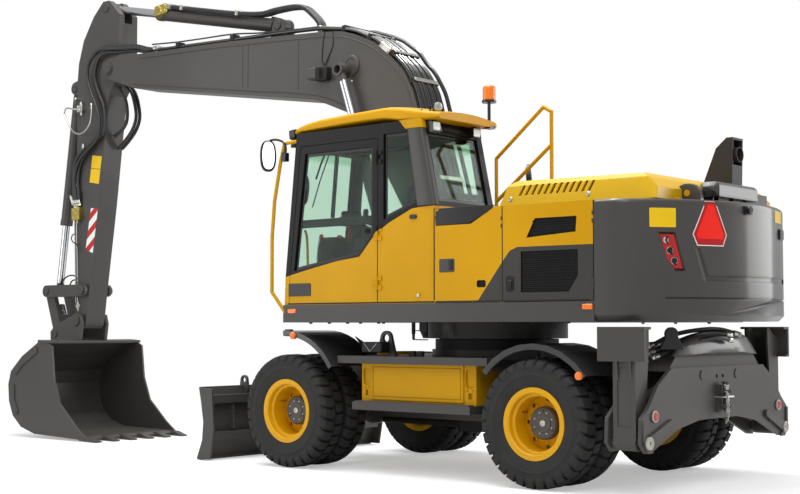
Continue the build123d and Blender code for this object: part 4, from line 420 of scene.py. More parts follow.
def make(name, material, body, slot, *strokes):
    """A piece from strokes: each is a shaping function and what it takes after the mesh."""
    mesh = bmesh.new()
    for shape, *given in strokes:
        shape(mesh, *given)
    put(name, mesh, material, body)


UPPER_GRILLE = [(0.035, 2.048), (-0.045, 2.182), (-0.445, 2.182), (-0.438, 2.082)]
LOWER_GRILLE = [(0.092, 1.602), (0.092, 1.916), (-0.455, 1.916), (-0.455, 1.722), (-0.362, 1.602)]
sheet_black = enamel("matt_enamel_black_on_sheet", "#1B1B1C", 0.5, 0.0)
make("punched_grilles_left", sheet_black, "side_door_left_rear", "trim_black", (punched, 1, UPPER_GRILLE),
    (punched, 1, LOWER_GRILLE))
make("punched_grille_right", sheet_black, "side_door_right", "trim_black", (punched, -1, LOWER_GRILLE))

# Cab glass: toughened sheets with a pale green tint that is deeper in a band along the top. The panes are
# bonded into the cab's frame and its door.
glass, tree, out, place = start_material("toughened_green_tinted_glass")
height = add(tree, "ShaderNodeSeparateXYZ", {0: place}).outputs[2]
band = add(tree, "ShaderNodeMapRange", {"Value": height, "From Min": 2.86, "From Max": 2.90}).outputs[0]
tint = add(tree, "ShaderNodeMix", {"Factor": band, 6: linear("#D3E7DB"), 7: linear("#A9CDB6")},
    data_type="RGBA").outputs[2]
clear = add(tree, "ShaderNodeBsdfPrincipled", {"Base Color": tint, "Roughness": 0.02,
    "Transmission Weight": 1.0, "IOR": 1.2})
through = add(tree, "ShaderNodeBsdfTransparent", {"Color": linear("#D4E6DB")})
shadow = add(tree, "ShaderNodeLightPath").outputs["Is Shadow Ray"]
mixed = add(tree, "ShaderNodeMixShader", {0: shadow, 1: clear.outputs[0], 2: through.outputs[0]})
tree.links.new(mixed.outputs[0], out.inputs[0])
dress(glass, "cab_glass", "door_glass")

# Cab inside: the controls are moulded plastic, matt black, with a fine grain from the mould that breaks
# up their shine.
plastic, tree, out, place = start_material("grained_black_plastic")
grain = add(tree, "ShaderNodeTexVoronoi", {"Vector": place, "Scale": 520.0})
bumped(tree, out, grain.outputs["Distance"], 0.08, 0.0004, {"Base Color": linear("#171718"), "Roughness": 0.6,
    "Specular IOR Level": 0.2})
dress(plastic, "controls")

# Piston rods: hard chrome on steel, ground and polished bright. The eye at a rod's end is painted in the
# machine's grey.
chrome, tree, out, place = start_material("hard_chrome_ground")
rings = add(tree, "ShaderNodeTexNoise", {"Vector": place, "Scale": 900.0, "Detail": 2.0})
bump = add(tree, "ShaderNodeBump", {"Height": rings.outputs["Fac"], "Strength": 0.03, "Distance": 0.0002})
shader = add(tree, "ShaderNodeBsdfPrincipled", {"Base Color": linear("#D9DBDE"), "Metallic": 1.0,
    "Roughness": 0.12, "Normal": bump.outputs[0]})
painted = add(tree, "ShaderNodeBsdfPrincipled", {"Base Color": linear(GREY), "Roughness": 0.42,
    "Normal": bump.outputs[0]})
flat = add(tree, "ShaderNodeVectorMath", {0: place, 1: (1, 0, 1)}, operation="MULTIPLY").outputs[0]
any_eye = 0.0
for x, z, reach in ((2.99, 3.90, 0.135), (6.97, 5.15, 0.115), (8.00, 1.75, 0.110)):
    eye = add(tree, "ShaderNodeVectorMath", {0: flat, 1: (REAR_AXLE_X + x, 0, z)},
        operation="DISTANCE").outputs["Value"]
    near = add(tree, "ShaderNodeMath", {0: eye, 1: reach}, operation="LESS_THAN").outputs[0]
    any_eye = add(tree, "ShaderNodeMath", {0: any_eye, 1: near}, operation="MAXIMUM").outputs[0]
mixed = add(tree, "ShaderNodeMixShader", {0: any_eye, 1: shader.outputs[0], 2: painted.outputs[0]})
tree.links.new(mixed.outputs[0], out.inputs[0])
dress(chrome, "boom_rods", "arm_rod", "bucket_rod", "blade_rods", "stabiliser_rod_left",
    "stabiliser_rod_right")

# Boom: two bent flank plates between top and bottom flanges, welded along their edges, in satin dark
# grey enamel. Weld beads run beside the flanges and over the stiffeners inside.
def flow(points, step):
    """A smooth line through points, cut into steps."""
    points = [Vector(p) for p in points]
    ends = [2 * points[0] - points[1]] + points + [2 * points[-1] - points[-2]]
    line = []
    for p0, p1, p2, p3 in zip(ends, ends[1:], ends[2:], ends[3:]):
        span = (p2 - p1).length
        leave = (p2 - p0) / ((p1 - p0).length + span) * span
        reach = (p3 - p1) / ((p3 - p2).length + span) * span
        count = max(2, round(span / step))
        for k in range(count):
            t = k / count
            line.append(p1 * (2 * t ** 3 - 3 * t ** 2 + 1) + leave * (t ** 3 - 2 * t ** 2 + t) + p2
                * (3 * t ** 2 - 2 * t ** 3) + reach * (t ** 3 - t ** 2))
    return line + [points[-1]]


def closed(mesh, rows):
    """Quads between rows of vertices, and a face over the first and the last."""
    ring_faces(mesh, rows, len(rows[0]))
    mesh.faces.new(rows[0][::-1])
    mesh.faces.new(rows[-1])


def tube(mesh, line, radius, sides=10):
    """A round tube along a line, closed at both ends."""
    rows = []
    across = None
    for i, point in enumerate(line):
        ahead = (line[min(i + 1, len(line) - 1)] - line[max(i - 1, 0)]).normalized()
        across = ahead.orthogonal() if across is None else across - ahead * across.dot(ahead)
        across.normalize()
        other = ahead.cross(across)
        rows.append([mesh.verts.new(point + radius * (across * math.cos(2 * math.pi * k / sides) + other
            * math.sin(2 * math.pi * k / sides))) for k in range(sides)])
    closed(mesh, rows)


def turned(mesh, place, profile, sides=24):
    """A turned shape about a place's Z: (radius, height) pairs, closed at both ends."""
    rows = [[mesh.verts.new(place @ Vector((r * math.cos(2 * math.pi * k / sides),
        r * math.sin(2 * math.pi * k / sides), h))) for k in range(sides)] for r, h in profile]
    closed(mesh, rows)


def inner_outline(points, amount):
    """An outline moved in by one distance."""
    turn = 1 if sum(a[0] * b[1] - b[0] * a[1] for a, b in zip(points, points[1:] + points[:1])) > 0 else -1
    moved = []
    for i, here in enumerate(points):
        here = Vector(here[:2])
        one = (here - Vector(points[i - 1][:2])).normalized()
        two = (Vector(points[(i + 1) % len(points)][:2]) - here).normalized()
        aside = Vector((-one.y - two.y, one.x + two.x)) * turn
        moved.append(tuple(here + aside * amount / max(aside.length_squared / 2, 0.4)))
    return moved


def slab(mesh, place, outline, depth, edge=0.002, back=0.0):
    """A flat piece: an outline in a place's XY raised along Z, its front edges broken."""
    levels = ((outline, -back), (outline, depth - edge), (inner_outline(outline, edge), depth))
    rows = [[mesh.verts.new(place @ Vector((p[0], p[1], h))) for p in points] for points, h in levels]
    closed(mesh, rows)


def rounded(width, height, radius, steps=4):
    """The outline of a rectangle with round corners."""
    points = []
    for cx, cy, first in ((1, 1, 0), (-1, 1, 90), (-1, -1, 180), (1, -1, 270)):
        for k in range(steps + 1):
            a = math.radians(first + 90 * k / steps)
            points.append((cx * (width / 2 - radius) + radius * math.cos(a), cy * (height / 2 - radius)
                + radius * math.sin(a)))
    return points


def bolt(mesh, place, size):
    """A six-sided head on its washer, for a thread of one size."""
    turned(mesh, place, ((1.15 * size, 0), (1.15 * size, 0.14 * size), (1.05 * size, 0.2 * size)), 18)
    turned(mesh, place, ((0.92 * size, 0.1 * size), (0.92 * size, 0.72 * size), (0.78 * size, 0.84 * size)),
        6)


FAR = 2.0
surface_trees = {}


def touch(name, start, way):
    """Where a line from a start first meets a node, and the node's normal there."""
    if name not in surface_trees:
        shell = nodes[name].data
        faces = [p.vertices for p in shell.polygons]
        surface_trees[name] = BVHTree.FromPolygons([v.co for v in shell.vertices], faces)
    return surface_trees[name].ray_cast(Vector(start), Vector(way).normalized())[:2]


def against(name, start, way, up=(0, 0, 1)):
    """A place on a node where a line from a spot first meets it, its Z back along the line."""
    return facing(touch(name, spot(*start), way)[0], -Vector(way), up)


def shift(x, y, z):
    """A move along a place's own axes."""
    return Matrix.Translation((x, y, z))


def bent(mesh, points, step, radius, sides=10):
    """A round tube through spots, smooth if it has a step."""
    line = [spot(*p) for p in points]
    tube(mesh, flow(line, step) if step else line, radius, sides)


def block(mesh, at, way, size, depth, edge, back=0.0, up=(0, 0, 1)):
    """A flat piece with round corners at a spot, facing a way; its size is width, height, radius, steps."""
    slab(mesh, facing(spot(*at), way, up), rounded(*size), depth, edge, back)


dress(grey_enamel, "arm", "boom", "bucket", "rocker", "push_link", "blade", "boom_barrels", "arm_barrel",
    "bucket_barrel", "blade_barrels", "stabiliser_barrel_left", "stabiliser_barrel_right")

BOOM_HALF = 0.200
BOOM_TOP = ((2.05, 3.38), (2.13, 3.62), (2.24, 3.81), (2.42, 3.99), (2.63, 4.15), (2.90, 4.27), (3.07, 4.32),
    (3.40, 4.355), (4.73, 4.435), (6.26, 4.49))
BOOM_LOW = ((6.37, 4.10), (4.52, 3.82), (3.42, 3.65), (2.99, 3.48), (2.73, 3.25))
weld_bead = enamel("satin_enamel_over_weld_beads", GREY, 0.42, 0.15, peel_mm=6, peel=0.6)
welds = bmesh.new()
for side in (1, -1):
    for edge, offset in ((BOOM_TOP, -0.055), (BOOM_LOW, 0.045)):
        line = flow([spot(x, 0, z) for x, z in edge], 0.05)
        bead = []
        for before, point, after in zip(line[:1] + line, line, line[1:] + line[-1:]):
            ahead = (after - before).normalized()
            up = Vector((-ahead.z, 0, ahead.x))
            bead.append(point + (-up if up.z < 0 else up) * offset + Vector((0, side * (BOOM_HALF + 0.001),
                0)))
        tube(welds, bead, 0.0055, 6)
    for x, *heights in ((4.52, 3.90, 4.36), (4.436, 3.89, 4.36), (3.68, 3.78, 4.31)):
        bent(welds, [(x, side * (BOOM_HALF + 0.0005), z) for z in heights], None, 0.004, 6)
put("boom_weld_beads", welds, weld_bead, "boom")

# Pins of the working equipment: hardened steel, each held by an end plate with two bolts and a greasing
# hole in its middle; plates and heads carry the machine's enamel.
for body, x, z, radius in (("boom", 6.84, 4.38, 0.060), ("arm", 7.38, 1.38, 0.055), ("arm", 7.30, 1.75,
        0.055), ("rocker", 8.00, 1.75, 0.050), ("bucket", 7.81, 1.23, 0.050), ("arm", 6.97, 5.15, 0.052),
        ("boom", 4.10, 4.545, 0.050), ("arm", 7.64, 4.25, 0.048)):
    pin_ends = bmesh.new()
    for side in (1, -1):
        place = against(body, (x, side * FAR, z), (0, -side, 0))
        turned(pin_ends, place, ((radius, -0.004), (radius, 0.010), (radius - 0.004, 0.014),
            (radius * 0.55, 0.014), (radius * 0.5, 0.011), (0.004, 0.011)), 28)
        for angle in (35, 215):
            a = math.radians(angle)
            bolt(pin_ends, place @ shift(radius * 0.72 * math.cos(a), radius * 0.72 * math.sin(a), 0.013),
                0.010)
    put(f"pin_ends_{body}_{round(x * 100)}_{round(z * 100)}", pin_ends, grey_enamel, body)

# Hydraulic lines on the boom: bent steel tubes in black enamel, held side by side in polymer clamps
# along the boom's back, and wrapped rubber hoses with pressed steel ends where a joint has to move.
line_enamel = enamel("gloss_enamel_black_on_tubes", "#2A2A2B", 0.25, 0.5, edge_mm=1.5)
hose_cover, tree, out, place = start_material("fabric_wrapped_rubber_hose")
wrap = add(tree, "ShaderNodeTexWave", {"Vector": place, "Scale": 60.0, "Distortion": 3.0, "Detail": 1.0},
    bands_direction="DIAGONAL")
tone = add(tree, "ShaderNodeTexNoise", {"Vector": place, "Scale": 6.0, "Detail": 3.0})
mixed = add(tree, "ShaderNodeMix", {"Factor": tone.outputs["Fac"], 6: linear("#191A1B"),
    7: linear("#2B2C2D")}, data_type="RGBA").outputs[2]
bumped(tree, out, wrap.outputs["Fac"], 0.12, 0.0006, {"Base Color": mixed, "Roughness": 0.42})


def plated(name, code, roughness):
    """Zinc-plated steel: metal with a passivated colour that drifts a little, and fine grain."""
    material, tree, out, place = start_material(name)
    drift = add(tree, "ShaderNodeTexNoise", {"Vector": place, "Scale": 25.0, "Detail": 3.0})
    shade = add(tree, "ShaderNodeMapRange", {"Value": drift.outputs["Fac"], "To Min": 0.75, "To Max": 1.15})
    base = add(tree, "ShaderNodeRGB")
    base.outputs[0].default_value = linear(code)
    toned = add(tree, "ShaderNodeVectorMath", {0: base.outputs[0], 1: shade.outputs[0]}, operation="MULTIPLY")
    grain = add(tree, "ShaderNodeTexNoise", {"Vector": place, "Scale": 700.0})
    bumped(tree, out, grain.outputs["Fac"], 0.08, 0.0003, {"Base Color": toned.outputs[0], "Metallic": 1.0,
        "Roughness": roughness}, 0.002)
    return material


zinc = plated("zinc_plated_steel_clear", "#C9C8C2", 0.32)
brass = plated("zinc_plated_steel_yellow_passivated", "#C9B56A", 0.30)


def hoses(name, routes, radius, body, other=None, ends=True, cover=hose_cover):
    """Hoses along routes, riding one body, or standing free when they run between two, with their pressed
    ends beside them.
    """
    mesh, first, last = bmesh.new(), bmesh.new(), bmesh.new()
    for route in routes:
        line = flow([spot(*p) for p in route], radius * 1.6)
        tube(mesh, line, radius, 10)
        for part, point, toward in ((first, line[0], line[0] - line[1]),
                (last, line[-1], line[-1] - line[-2])):
            place = facing(point - toward.normalized() * 0.05, toward, (0.1, 0.9, 0.3))
            turned(part, place, ((radius * 1.02, 0), (radius * 1.32, 0.004), (radius * 1.32, 0.042),
                (radius * 0.8, 0.046), (radius * 0.8, 0.052)), 14)
            turned(part, place, ((radius * 1.35, 0.050), (radius * 1.35, 0.072), (radius * 1.1, 0.076)), 6)
    piece = put(name, mesh, cover, None if other else body)
    if other:
        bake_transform(piece)
    if ends:
        put(name + "_first_ends", first, zinc, body)
        put(name + "_last_ends", last, zinc, other or body)


def round_bend(turn, stand_off, y=0.0):
    """A point off the outside of the boom's bend, at a turn about its middle, and the way out there."""
    out = Vector((math.cos(math.radians(turn)), 0, math.sin(math.radians(turn))))
    return touch("boom", spot(3.05, y, 3.35) + out * FAR, -out)[0] + out * stand_off, out


BACK_LINE = [(3.45, 4.405)]
for turn in range(84, 177, 8):
    point = round_bend(turn, 0.036)[0]
    BACK_LINE.append((point.x - REAR_AXLE_X, point.z))
for z in (3.10, 2.85, 2.62, 2.44):
    BACK_LINE.append((touch("boom", spot(0.8, 0.0, z), (1, 0, 0))[0].x - REAR_AXLE_X - 0.036, z))
tubes_back = bmesh.new()
for y, radius, lift in ((0.172, 0.017, 0.0), (0.128, 0.020, 0.004), (0.078, 0.020, 0.004),
        (0.030, 0.017, 0.0), (-0.018, 0.020, 0.004), (-0.066, 0.014, 0.0), (-0.112, 0.020, 0.004),
        (-0.160, 0.017, 0.0)):
    back = [(x - lift * 0.7, y, z + lift) for x, z in BACK_LINE]
    if y > 0.12 or y < -0.1:
        back = [(6.00, y, 4.508 + lift), (4.73, y, 4.458 + lift)] + back
    bent(tubes_back, back, 0.03, radius)
outer_line = [(3.50, -0.235, 4.40)]
outer_line += [(x - (0.030 if z < 4.3 else 0.0), -0.235, z + (0.030 if z >= 4.0 else 0.0))
    for x, z in BACK_LINE[2:]]
bent(tubes_back, outer_line, 0.03, 0.021)
bent(tubes_back, [(x, 0.185, z) for x, z in ((6.05, 4.575), (5.60, 4.545), (5.22, 4.530), (4.70, 4.512),
    (4.30, 4.470), (3.90, 4.440), (3.40, 4.412))], 0.03, 0.009, 8)
put("boom_steel_lines", tubes_back, line_enamel, "boom")

clamp_plastic = enamel("moulded_black_polymer", "#222222", 0.5, 0.0, peel_mm=1.0, peel=0.3)
clamps, straps = bmesh.new(), bmesh.new()
held_at = [(4.70, 4.483, 3, 0.15, 0.11), (5.60, 4.513, 3, 0.15, 0.11), (4.70, 4.483, 3, -0.14, 0.11),
    (5.60, 4.513, 3, -0.14, 0.11)]
bend_clamps = []
for turn in (90, 112, 135, 158):
    point = round_bend(turn, 0.040)[0]
    bend_clamps.append((point.x - REAR_AXLE_X, point.z, turn - 90, 0.0, 0.38))
for (x0, z0), (x1, z1) in zip(BACK_LINE[-3:], BACK_LINE[-2:]):
    bend_clamps.append(((x0 + x1) / 2, (z0 + z1) / 2, 75, 0.0, 0.38))
for x, z, slope, middle_y, width in bend_clamps + held_at:
    a = math.radians(slope)
    away = Vector((-math.sin(a), 0, math.cos(a)))
    place = facing(spot(x, middle_y, z) - away * 0.030, away, (0, 1, 0))
    slab(clamps, place, rounded(0.055, width, 0.010, 3), 0.056, 0.004)
    slab(straps, place @ shift(0, 0, 0.056), rounded(0.036, width - 0.012, 0.006, 2), 0.005, 0.001)
    for across in (-width / 2 + 0.025, width / 2 - 0.025):
        bolt(straps, place @ shift(0, across, 0.060), 0.009)
point, out = round_bend(128, 0.022, 0.178)
place = facing(point, out, (0.719, 0, 0.695))
make("boom_bend_coupling", zinc, "boom", "rod_chrome", (slab, place, rounded(0.060, 0.165, 0.014, 3), 0.040,
    0.006, 0.02), (bolt, place @ shift(0, -0.055, 0.040), 0.013), (bolt, place @ shift(0, 0.055, 0.040),
    0.013), (turned, facing(point + Vector((-0.05, 0.017, -0.045)), (-0.3, 0.95, 0)),
    ((0.016, -0.01), (0.016, 0.02), (0.011, 0.026)), 6))
make("boom_pin_bosses", grey_enamel, "boom", "chassis_grey", *[(turned, against("boom", (2.93, side * FAR,
    3.95), (0, -side, 0)), ((0.108, -0.003), (0.108, 0.010), (0.100, 0.018), (0.072, 0.018), (0.066, 0.012),
    (0.05, 0.011)), 36) for side in (1, -1)])
make("boom_grease_nipples", zinc, "boom", "rod_chrome", *[(turned, against("boom", (x, side * FAR, z),
    (0, -side, 0)), ((0.011, -0.002), (0.011, 0.008), (0.006, 0.012), (0.008, 0.018), (0.004, 0.024)), 10)
    for side in (1, -1) for x, z in ((2.918, 3.79), (3.028, 3.961))])
put("boom_line_clamps", clamps, clamp_plastic, "boom")
put("boom_clamp_straps", straps, zinc, "boom")

hoses("boom_foot_hoses", [[(1.77, y, 2.36), (1.70, y, 2.18), (1.585, y * 1.05, 2.00), (1.48, y * 1.1, 1.78),
    (1.40, y * 1.1, 1.60)] for y in (-0.15, -0.09, -0.03, 0.03, 0.09, 0.15)], 0.020, "upper", "boom")
hoses("arm_cylinder_hoses", [[(3.47, y, 4.40), (3.50, y, 4.49), (3.61, y, 4.60), (3.72, y, 4.68),
    (3.88, y, 4.712), (4.16, y, 4.715), (4.34, y, 4.705), (4.74, y, 4.765), (5.38, y, 4.90),
    (5.90, y * 0.8, 5.015)] for y in (0.078, 0.016)], 0.028, "boom", "arm_barrel")
hose_clips = bmesh.new()
for x, z in ((4.73, 4.735), (5.65, 4.93)):
    place = facing(spot(x, 0.047, z), (-0.21, 0, 0.98), (0, 1, 0))
    slab(hose_clips, place @ shift(0, 0, 0.004), rounded(0.05, 0.15, 0.02, 4), 0.061, 0.004)
    bolt(hose_clips, place @ shift(0, 0, 0.064), 0.010)
put("arm_cylinder_hose_clips", hose_clips, zinc, "arm_barrel")
place = facing(spot(6.02, 0.052, 4.98), (-0.2, 0.93, 0.3), (0.2, 0, 1))
make("arm_cylinder_port_block", brass, "arm_barrel", "rod_chrome", (slab, place, rounded(0.18, 0.13, 0.014,
    3), 0.055, 0.004, 0.03), *[(bolt, place @ shift(x, y, 0.055), 0.014) for x, y in ((-0.055, 0.035),
    (0.0, -0.03), (0.055, 0.03), (0.05, -0.035))], (turned, place @ shift(-0.02, 0.02, 0.05),
    ((0.022, 0), (0.022, 0.03), (0.018, 0.034)), 6))

# Hoses over the arm's pivot and down its left side: fabric-wrapped rubber with pressed steel ends, and the
# plated valve blocks that they are screwed to.
ARM_ROUTES = ([(5.98, 4.530, .172), (6.15, 4.525, .180), (6.33, 4.576, .188), (6.67, 4.605, .195),
    (7.01, 4.632, .200), (7.133, 4.582, .200), (7.201, 4.503, .200), (7.242, 4.399, .200),
    (7.249, 4.291, .198), (7.181, 4.130, .195), (7.098, 3.972, .190), (7.035, 3.781, .188),
    (7.052, 3.622, .185), (7.168, 3.521, .182), (7.305, 3.459, .178), (7.464, 3.350, .172),
    (7.512, 3.227, .168), (7.520, 3.078, .165), (7.515, 2.953, .165), (7.49, 2.80, .165)],
    [(5.98, 4.500, .128), (6.15, 4.500, .150), (6.33, 4.540, .160), (6.67, 4.567, .170), (6.91, 4.586, .185),
    (7.03, 4.547, .185), (7.09, 4.467, .180), (7.125, 4.362, .175), (7.11, 4.251, .172), (7.050, 4.120, .170),
    (6.955, 3.951, .168), (6.925, 3.764, .166), (6.950, 3.640, .165), (7.04, 3.575, .165),
    (7.15, 3.500, .165), (7.29, 3.405, .165), (7.40, 3.28, .163), (7.44, 3.10, .162), (7.43, 2.93, .162),
    (7.41, 2.80, .162)], [(5.98, 4.530, .100), (6.15, 4.545, .140), (6.35, 4.60, .160), (6.68, 4.635, .165),
    (6.98, 4.650, .180), (7.10, 4.595, .190), (7.16, 4.500, .232), (7.19, 4.390, .235), (7.19, 4.280, .230),
    (7.125, 4.110, .222), (7.04, 3.950, .215), (6.985, 3.775, .212), (7.00, 3.600, .208), (7.10, 3.500, .206),
    (7.24, 3.420, .203), (7.39, 3.310, .198), (7.46, 3.18, .192), (7.475, 3.05, .188), (7.46, 2.90, .180),
    (7.45, 2.80, .172)])
hoses("arm_left_hoses", [[(x, y, z) for x, z, y in route] for route in ARM_ROUTES], 0.020, "boom", "arm")
REAR_LOOP = ((6.79, 4.20), (6.70, 4.12), (6.628, 3.953), (6.607, 3.792), (6.680, 3.651), (6.82, 3.53),
    (6.93, 3.46))
INNER_LOOP = ((6.83, 4.18), (6.76, 4.08), (6.704, 3.93), (6.701, 3.776), (6.758, 3.69), (6.86, 3.63),
    (6.93, 3.60))
hoses("arm_rear_loops", [[(x, y, z) for x, z in loop] for loop, y in ((REAR_LOOP, -0.04), (REAR_LOOP, -0.095),
    (INNER_LOOP, 0.02))], 0.021, "boom", "arm", ends=False)
hoses("arm_bypass_loop", [[(7.426, .175, 3.956), (7.538, .19, 3.973), (7.660, .19, 3.990),
    (7.700, .19, 3.940), (7.665, .19, 3.86), (7.574, .19, 3.744), (7.471, .20, 3.672), (7.329, .215, 3.647),
    (7.211, .225, 3.686), (7.123, .235, 3.765), (7.10, .235, 3.873), (7.12, .225, 3.97)]], 0.010, "arm",
    cover=zinc)
for name, x, z, width, height, material, heads, depth in (("bypass_valve", 7.40, 3.965, 0.105, 0.085, zinc,
        ((-0.03, 0.02, 0.011), (0.03, 0.02, 0.011), (0.0, -0.02, 0.012)), 0.055), ("holding_valve", 7.44,
        2.68, 0.150, 0.150, brass, ((-0.045, 0.045, 0.014), (0.045, 0.045, 0.012), (0.0, 0.0, 0.017),
        (-0.045, -0.045, 0.012), (0.04, -0.05, 0.014)), 0.065), ("line_coupling", 7.37, 3.455, 0.030, 0.075,
        zinc, (), 0.022), ("line_bracket", 7.42, 2.89, 0.060, 0.13, clamp_plastic, ((0, 0.035, 0.010),
        (0, -0.035, 0.010)), 0.035), ("line_bracket_low", 7.43, 1.565, 0.075, 0.045, zinc, ((-0.02, 0, 0.008),
        (0.02, 0, 0.008)), 0.02)):
    place = against("arm", (x, 1.0, z), (0, -1, 0), (0.06, 0, 1))
    make(name, material, "arm", "rod_chrome", (slab, place, rounded(width, height, 0.008, 2), depth, 0.003),
        *[(bolt, place @ shift(px, py, depth), size) for px, py, size in heads],
        *[(turned, place @ shift(0, way * height / 2, depth / 2) @ Matrix.Rotation(math.radians(-90 * way), 4,
        "X"), ((0.016, -0.004), (0.016, 0.020), (0.012, 0.024), (0.012, 0.04)), 6) for way in (1, -1)])
make("valve_plugs", zinc, "arm", "rod_chrome", (turned, against("arm", (7.49, 1.0, 4.09), (0, -1, 0)),
    ((0.02, 0), (0.02, 0.05), (0.014, 0.056)), 6), (turned, facing(spot(7.53, 0.165, 2.80),
    (0.35, 0.1, 0.93)), ((0.017, 0), (0.017, 0.10), (0.011, 0.106), (0.011, 0.12)), 12))

FRONT_LINE = ((7.50, 2.61), (7.495, 2.45), (7.485, 2.28), (7.475, 2.065), (7.468, 1.86), (7.46, 1.60))
make("arm_front_lines", plated("painted_steel_tube_grey", "#8E8F8D", 0.38), "arm", "rod_chrome",
    *[(bent, [(x + aside, y, z) for x, z in FRONT_LINE], 0.03, 0.012) for y, aside in ((0.155, 0.0),
    (0.118, 0.004))])
hoses("arm_ring_loop", [[(7.49, .16, 2.44), (7.524, .17, 2.430), (7.550, .17, 2.383), (7.513, .17, 2.338),
    (7.451, .165, 2.314), (7.42, .16, 2.22)]], 0.007, "arm", ends=False)
hoses("link_hose", [[(7.47, .12, 1.88), (7.53, .13, 1.93), (7.638, .13, 1.935), (7.745, .12, 1.90),
    (7.84, .11, 1.83)], [(7.47, .10, 1.80), (7.55, .11, 1.88), (7.62, .11, 1.86), (7.66, .11, 1.79)]], 0.009,
    "arm", "rocker", ends=False)
place = facing(spot(7.93, 0.02, 1.50), (-0.55, 0.8, 0.1), (0.35, 0, 1))
make("link_valve", zinc, "push_link", "rod_chrome", (slab, place, rounded(0.10, 0.17, 0.01, 2), 0.05, 0.003,
    0.03), *[(bolt, place @ shift(x, y, 0.05), 0.012) for x, y in ((-0.02, 0.05), (0.02, 0.0),
    (-0.015, -0.05))])


# Plates stuck on the arm: a red and white chevron of reflective sheet, and two blank yellow plates of
# printed vinyl. They lie on the flank and follow its shape.
def striped(tree, place):
    """Alternate bands that climb across the arm's flank, 71 mm wide each."""
    along = add(tree, "ShaderNodeVectorMath", {0: place, 1: (0.616, 0.0, 0.788)}, operation="DOT_PRODUCT")
    turns = add(tree, "ShaderNodeMath", {0: along.outputs["Value"], 1: 1 / 0.142},
        operation="MULTIPLY").outputs[0]
    moved = add(tree, "ShaderNodeMath", {0: turns, 1: 0.18}, operation="ADD").outputs[0]
    part = add(tree, "ShaderNodeMath", {0: moved}, operation="FRACT").outputs[0]
    return add(tree, "ShaderNodeMath", {0: part, 1: 0.5}, operation="GREATER_THAN").outputs[0]


reflective = enamel("retroreflective_sheet_red_white", "#E9EEEA", 0.28, 0.3, peel_mm=3.0, peel=0.15,
    second=("#B91F1A", striped), edge_mm=0.5)
yellow_sheet = enamel("printed_vinyl_yellow", "#E9BE0A", 0.32, 0.2, peel_mm=2.0, peel=0.06, edge_mm=0.5)


def stick(mesh, corners, across, up):
    """A thin sheet that lies on the arm's left flank between four corners of (ahead, height)."""
    a, b, c, d = (spot(x, 0.137, z) for x, z in corners)
    grid = []
    for i in range(up + 1):
        row = []
        for j in range(across + 1):
            s, t = j / across, i / up
            aim = (a * (1 - s) + b * s) * (1 - t) + (d * (1 - s) + c * s) * t
            point, normal = touch("arm", aim + Vector((0, 0.8, 0)), (0, -1, 0))
            if (point - aim).length > 0.12:
                point, normal = aim, Vector((0, 1, 0))
            row.append(mesh.verts.new(point + normal * 0.0015))
        grid.append(row)
    for i in range(up):
        for j in range(across):
            mesh.faces.new((grid[i][j], grid[i][j + 1], grid[i + 1][j + 1], grid[i + 1][j]))


make("arm_chevron", reflective, "arm", "lamp_amber", (stick, ((7.217, 2.741), (7.080, 2.731), (7.171, 2.197),
    (7.310, 2.245)), 4, 8))
make("arm_blank_plates", yellow_sheet, "arm", "body_yellow", (stick, ((7.201, 3.380), (7.017, 3.354),
    (7.043, 3.203), (7.222, 3.226)), 3, 3), (stick, ((7.223, 3.219), (7.044, 3.196), (7.070, 3.025),
    (7.250, 3.056)), 3, 3))

# Lamp bracket on the boom's left flank: a moulded black box, screwed on at two corners, and the two thin
# cables that run to it.
place = facing(spot(3.295, BOOM_HALF, 3.90), (0, 1, 0))
make("boom_flank_box", clamp_plastic, "boom", "trim_black", (slab, place, rounded(0.17, 0.14, 0.02, 3), 0.075,
    0.005), (bolt, place @ shift(-0.06, 0.045, 0.075), 0.009), (bolt, place @ shift(0.06, -0.045, 0.075),
    0.009))
hoses("boom_lamp_cables", [[(3.298, .202, 4.35), (3.325, .204, 4.215), (3.335, .206, 4.05),
    (3.303, .215, 3.97)], [(3.185, .202, 4.33), (3.185, .204, 4.196), (3.235, .206, 4.092),
    (3.303, .215, 3.97)]], 0.0055, "boom", ends=False)

# Side fittings: recessed handles, latches, the inlay on the front door's edge, amber markers and the
# black plate under the cab door. All stand on the skin of the left side.
def side_place(ahead, z, y=SKIN_Y):
    """A place on the left side's skin, its X ahead and its Y up."""
    return facing(spot(ahead, y, z), (0, 1, 0)) @ Matrix.Diagonal((-1, 1, 1, 1))


def skin_at(ahead, z, *names):
    """How far left the nodes of some names reach at a point of the machine's side."""
    hits = [touch(name, spot(ahead, 1.6, z), (0, -1, 0))[0] for name in names]
    return max([h.y for h in hits if h is not None] or [SKIN_Y])


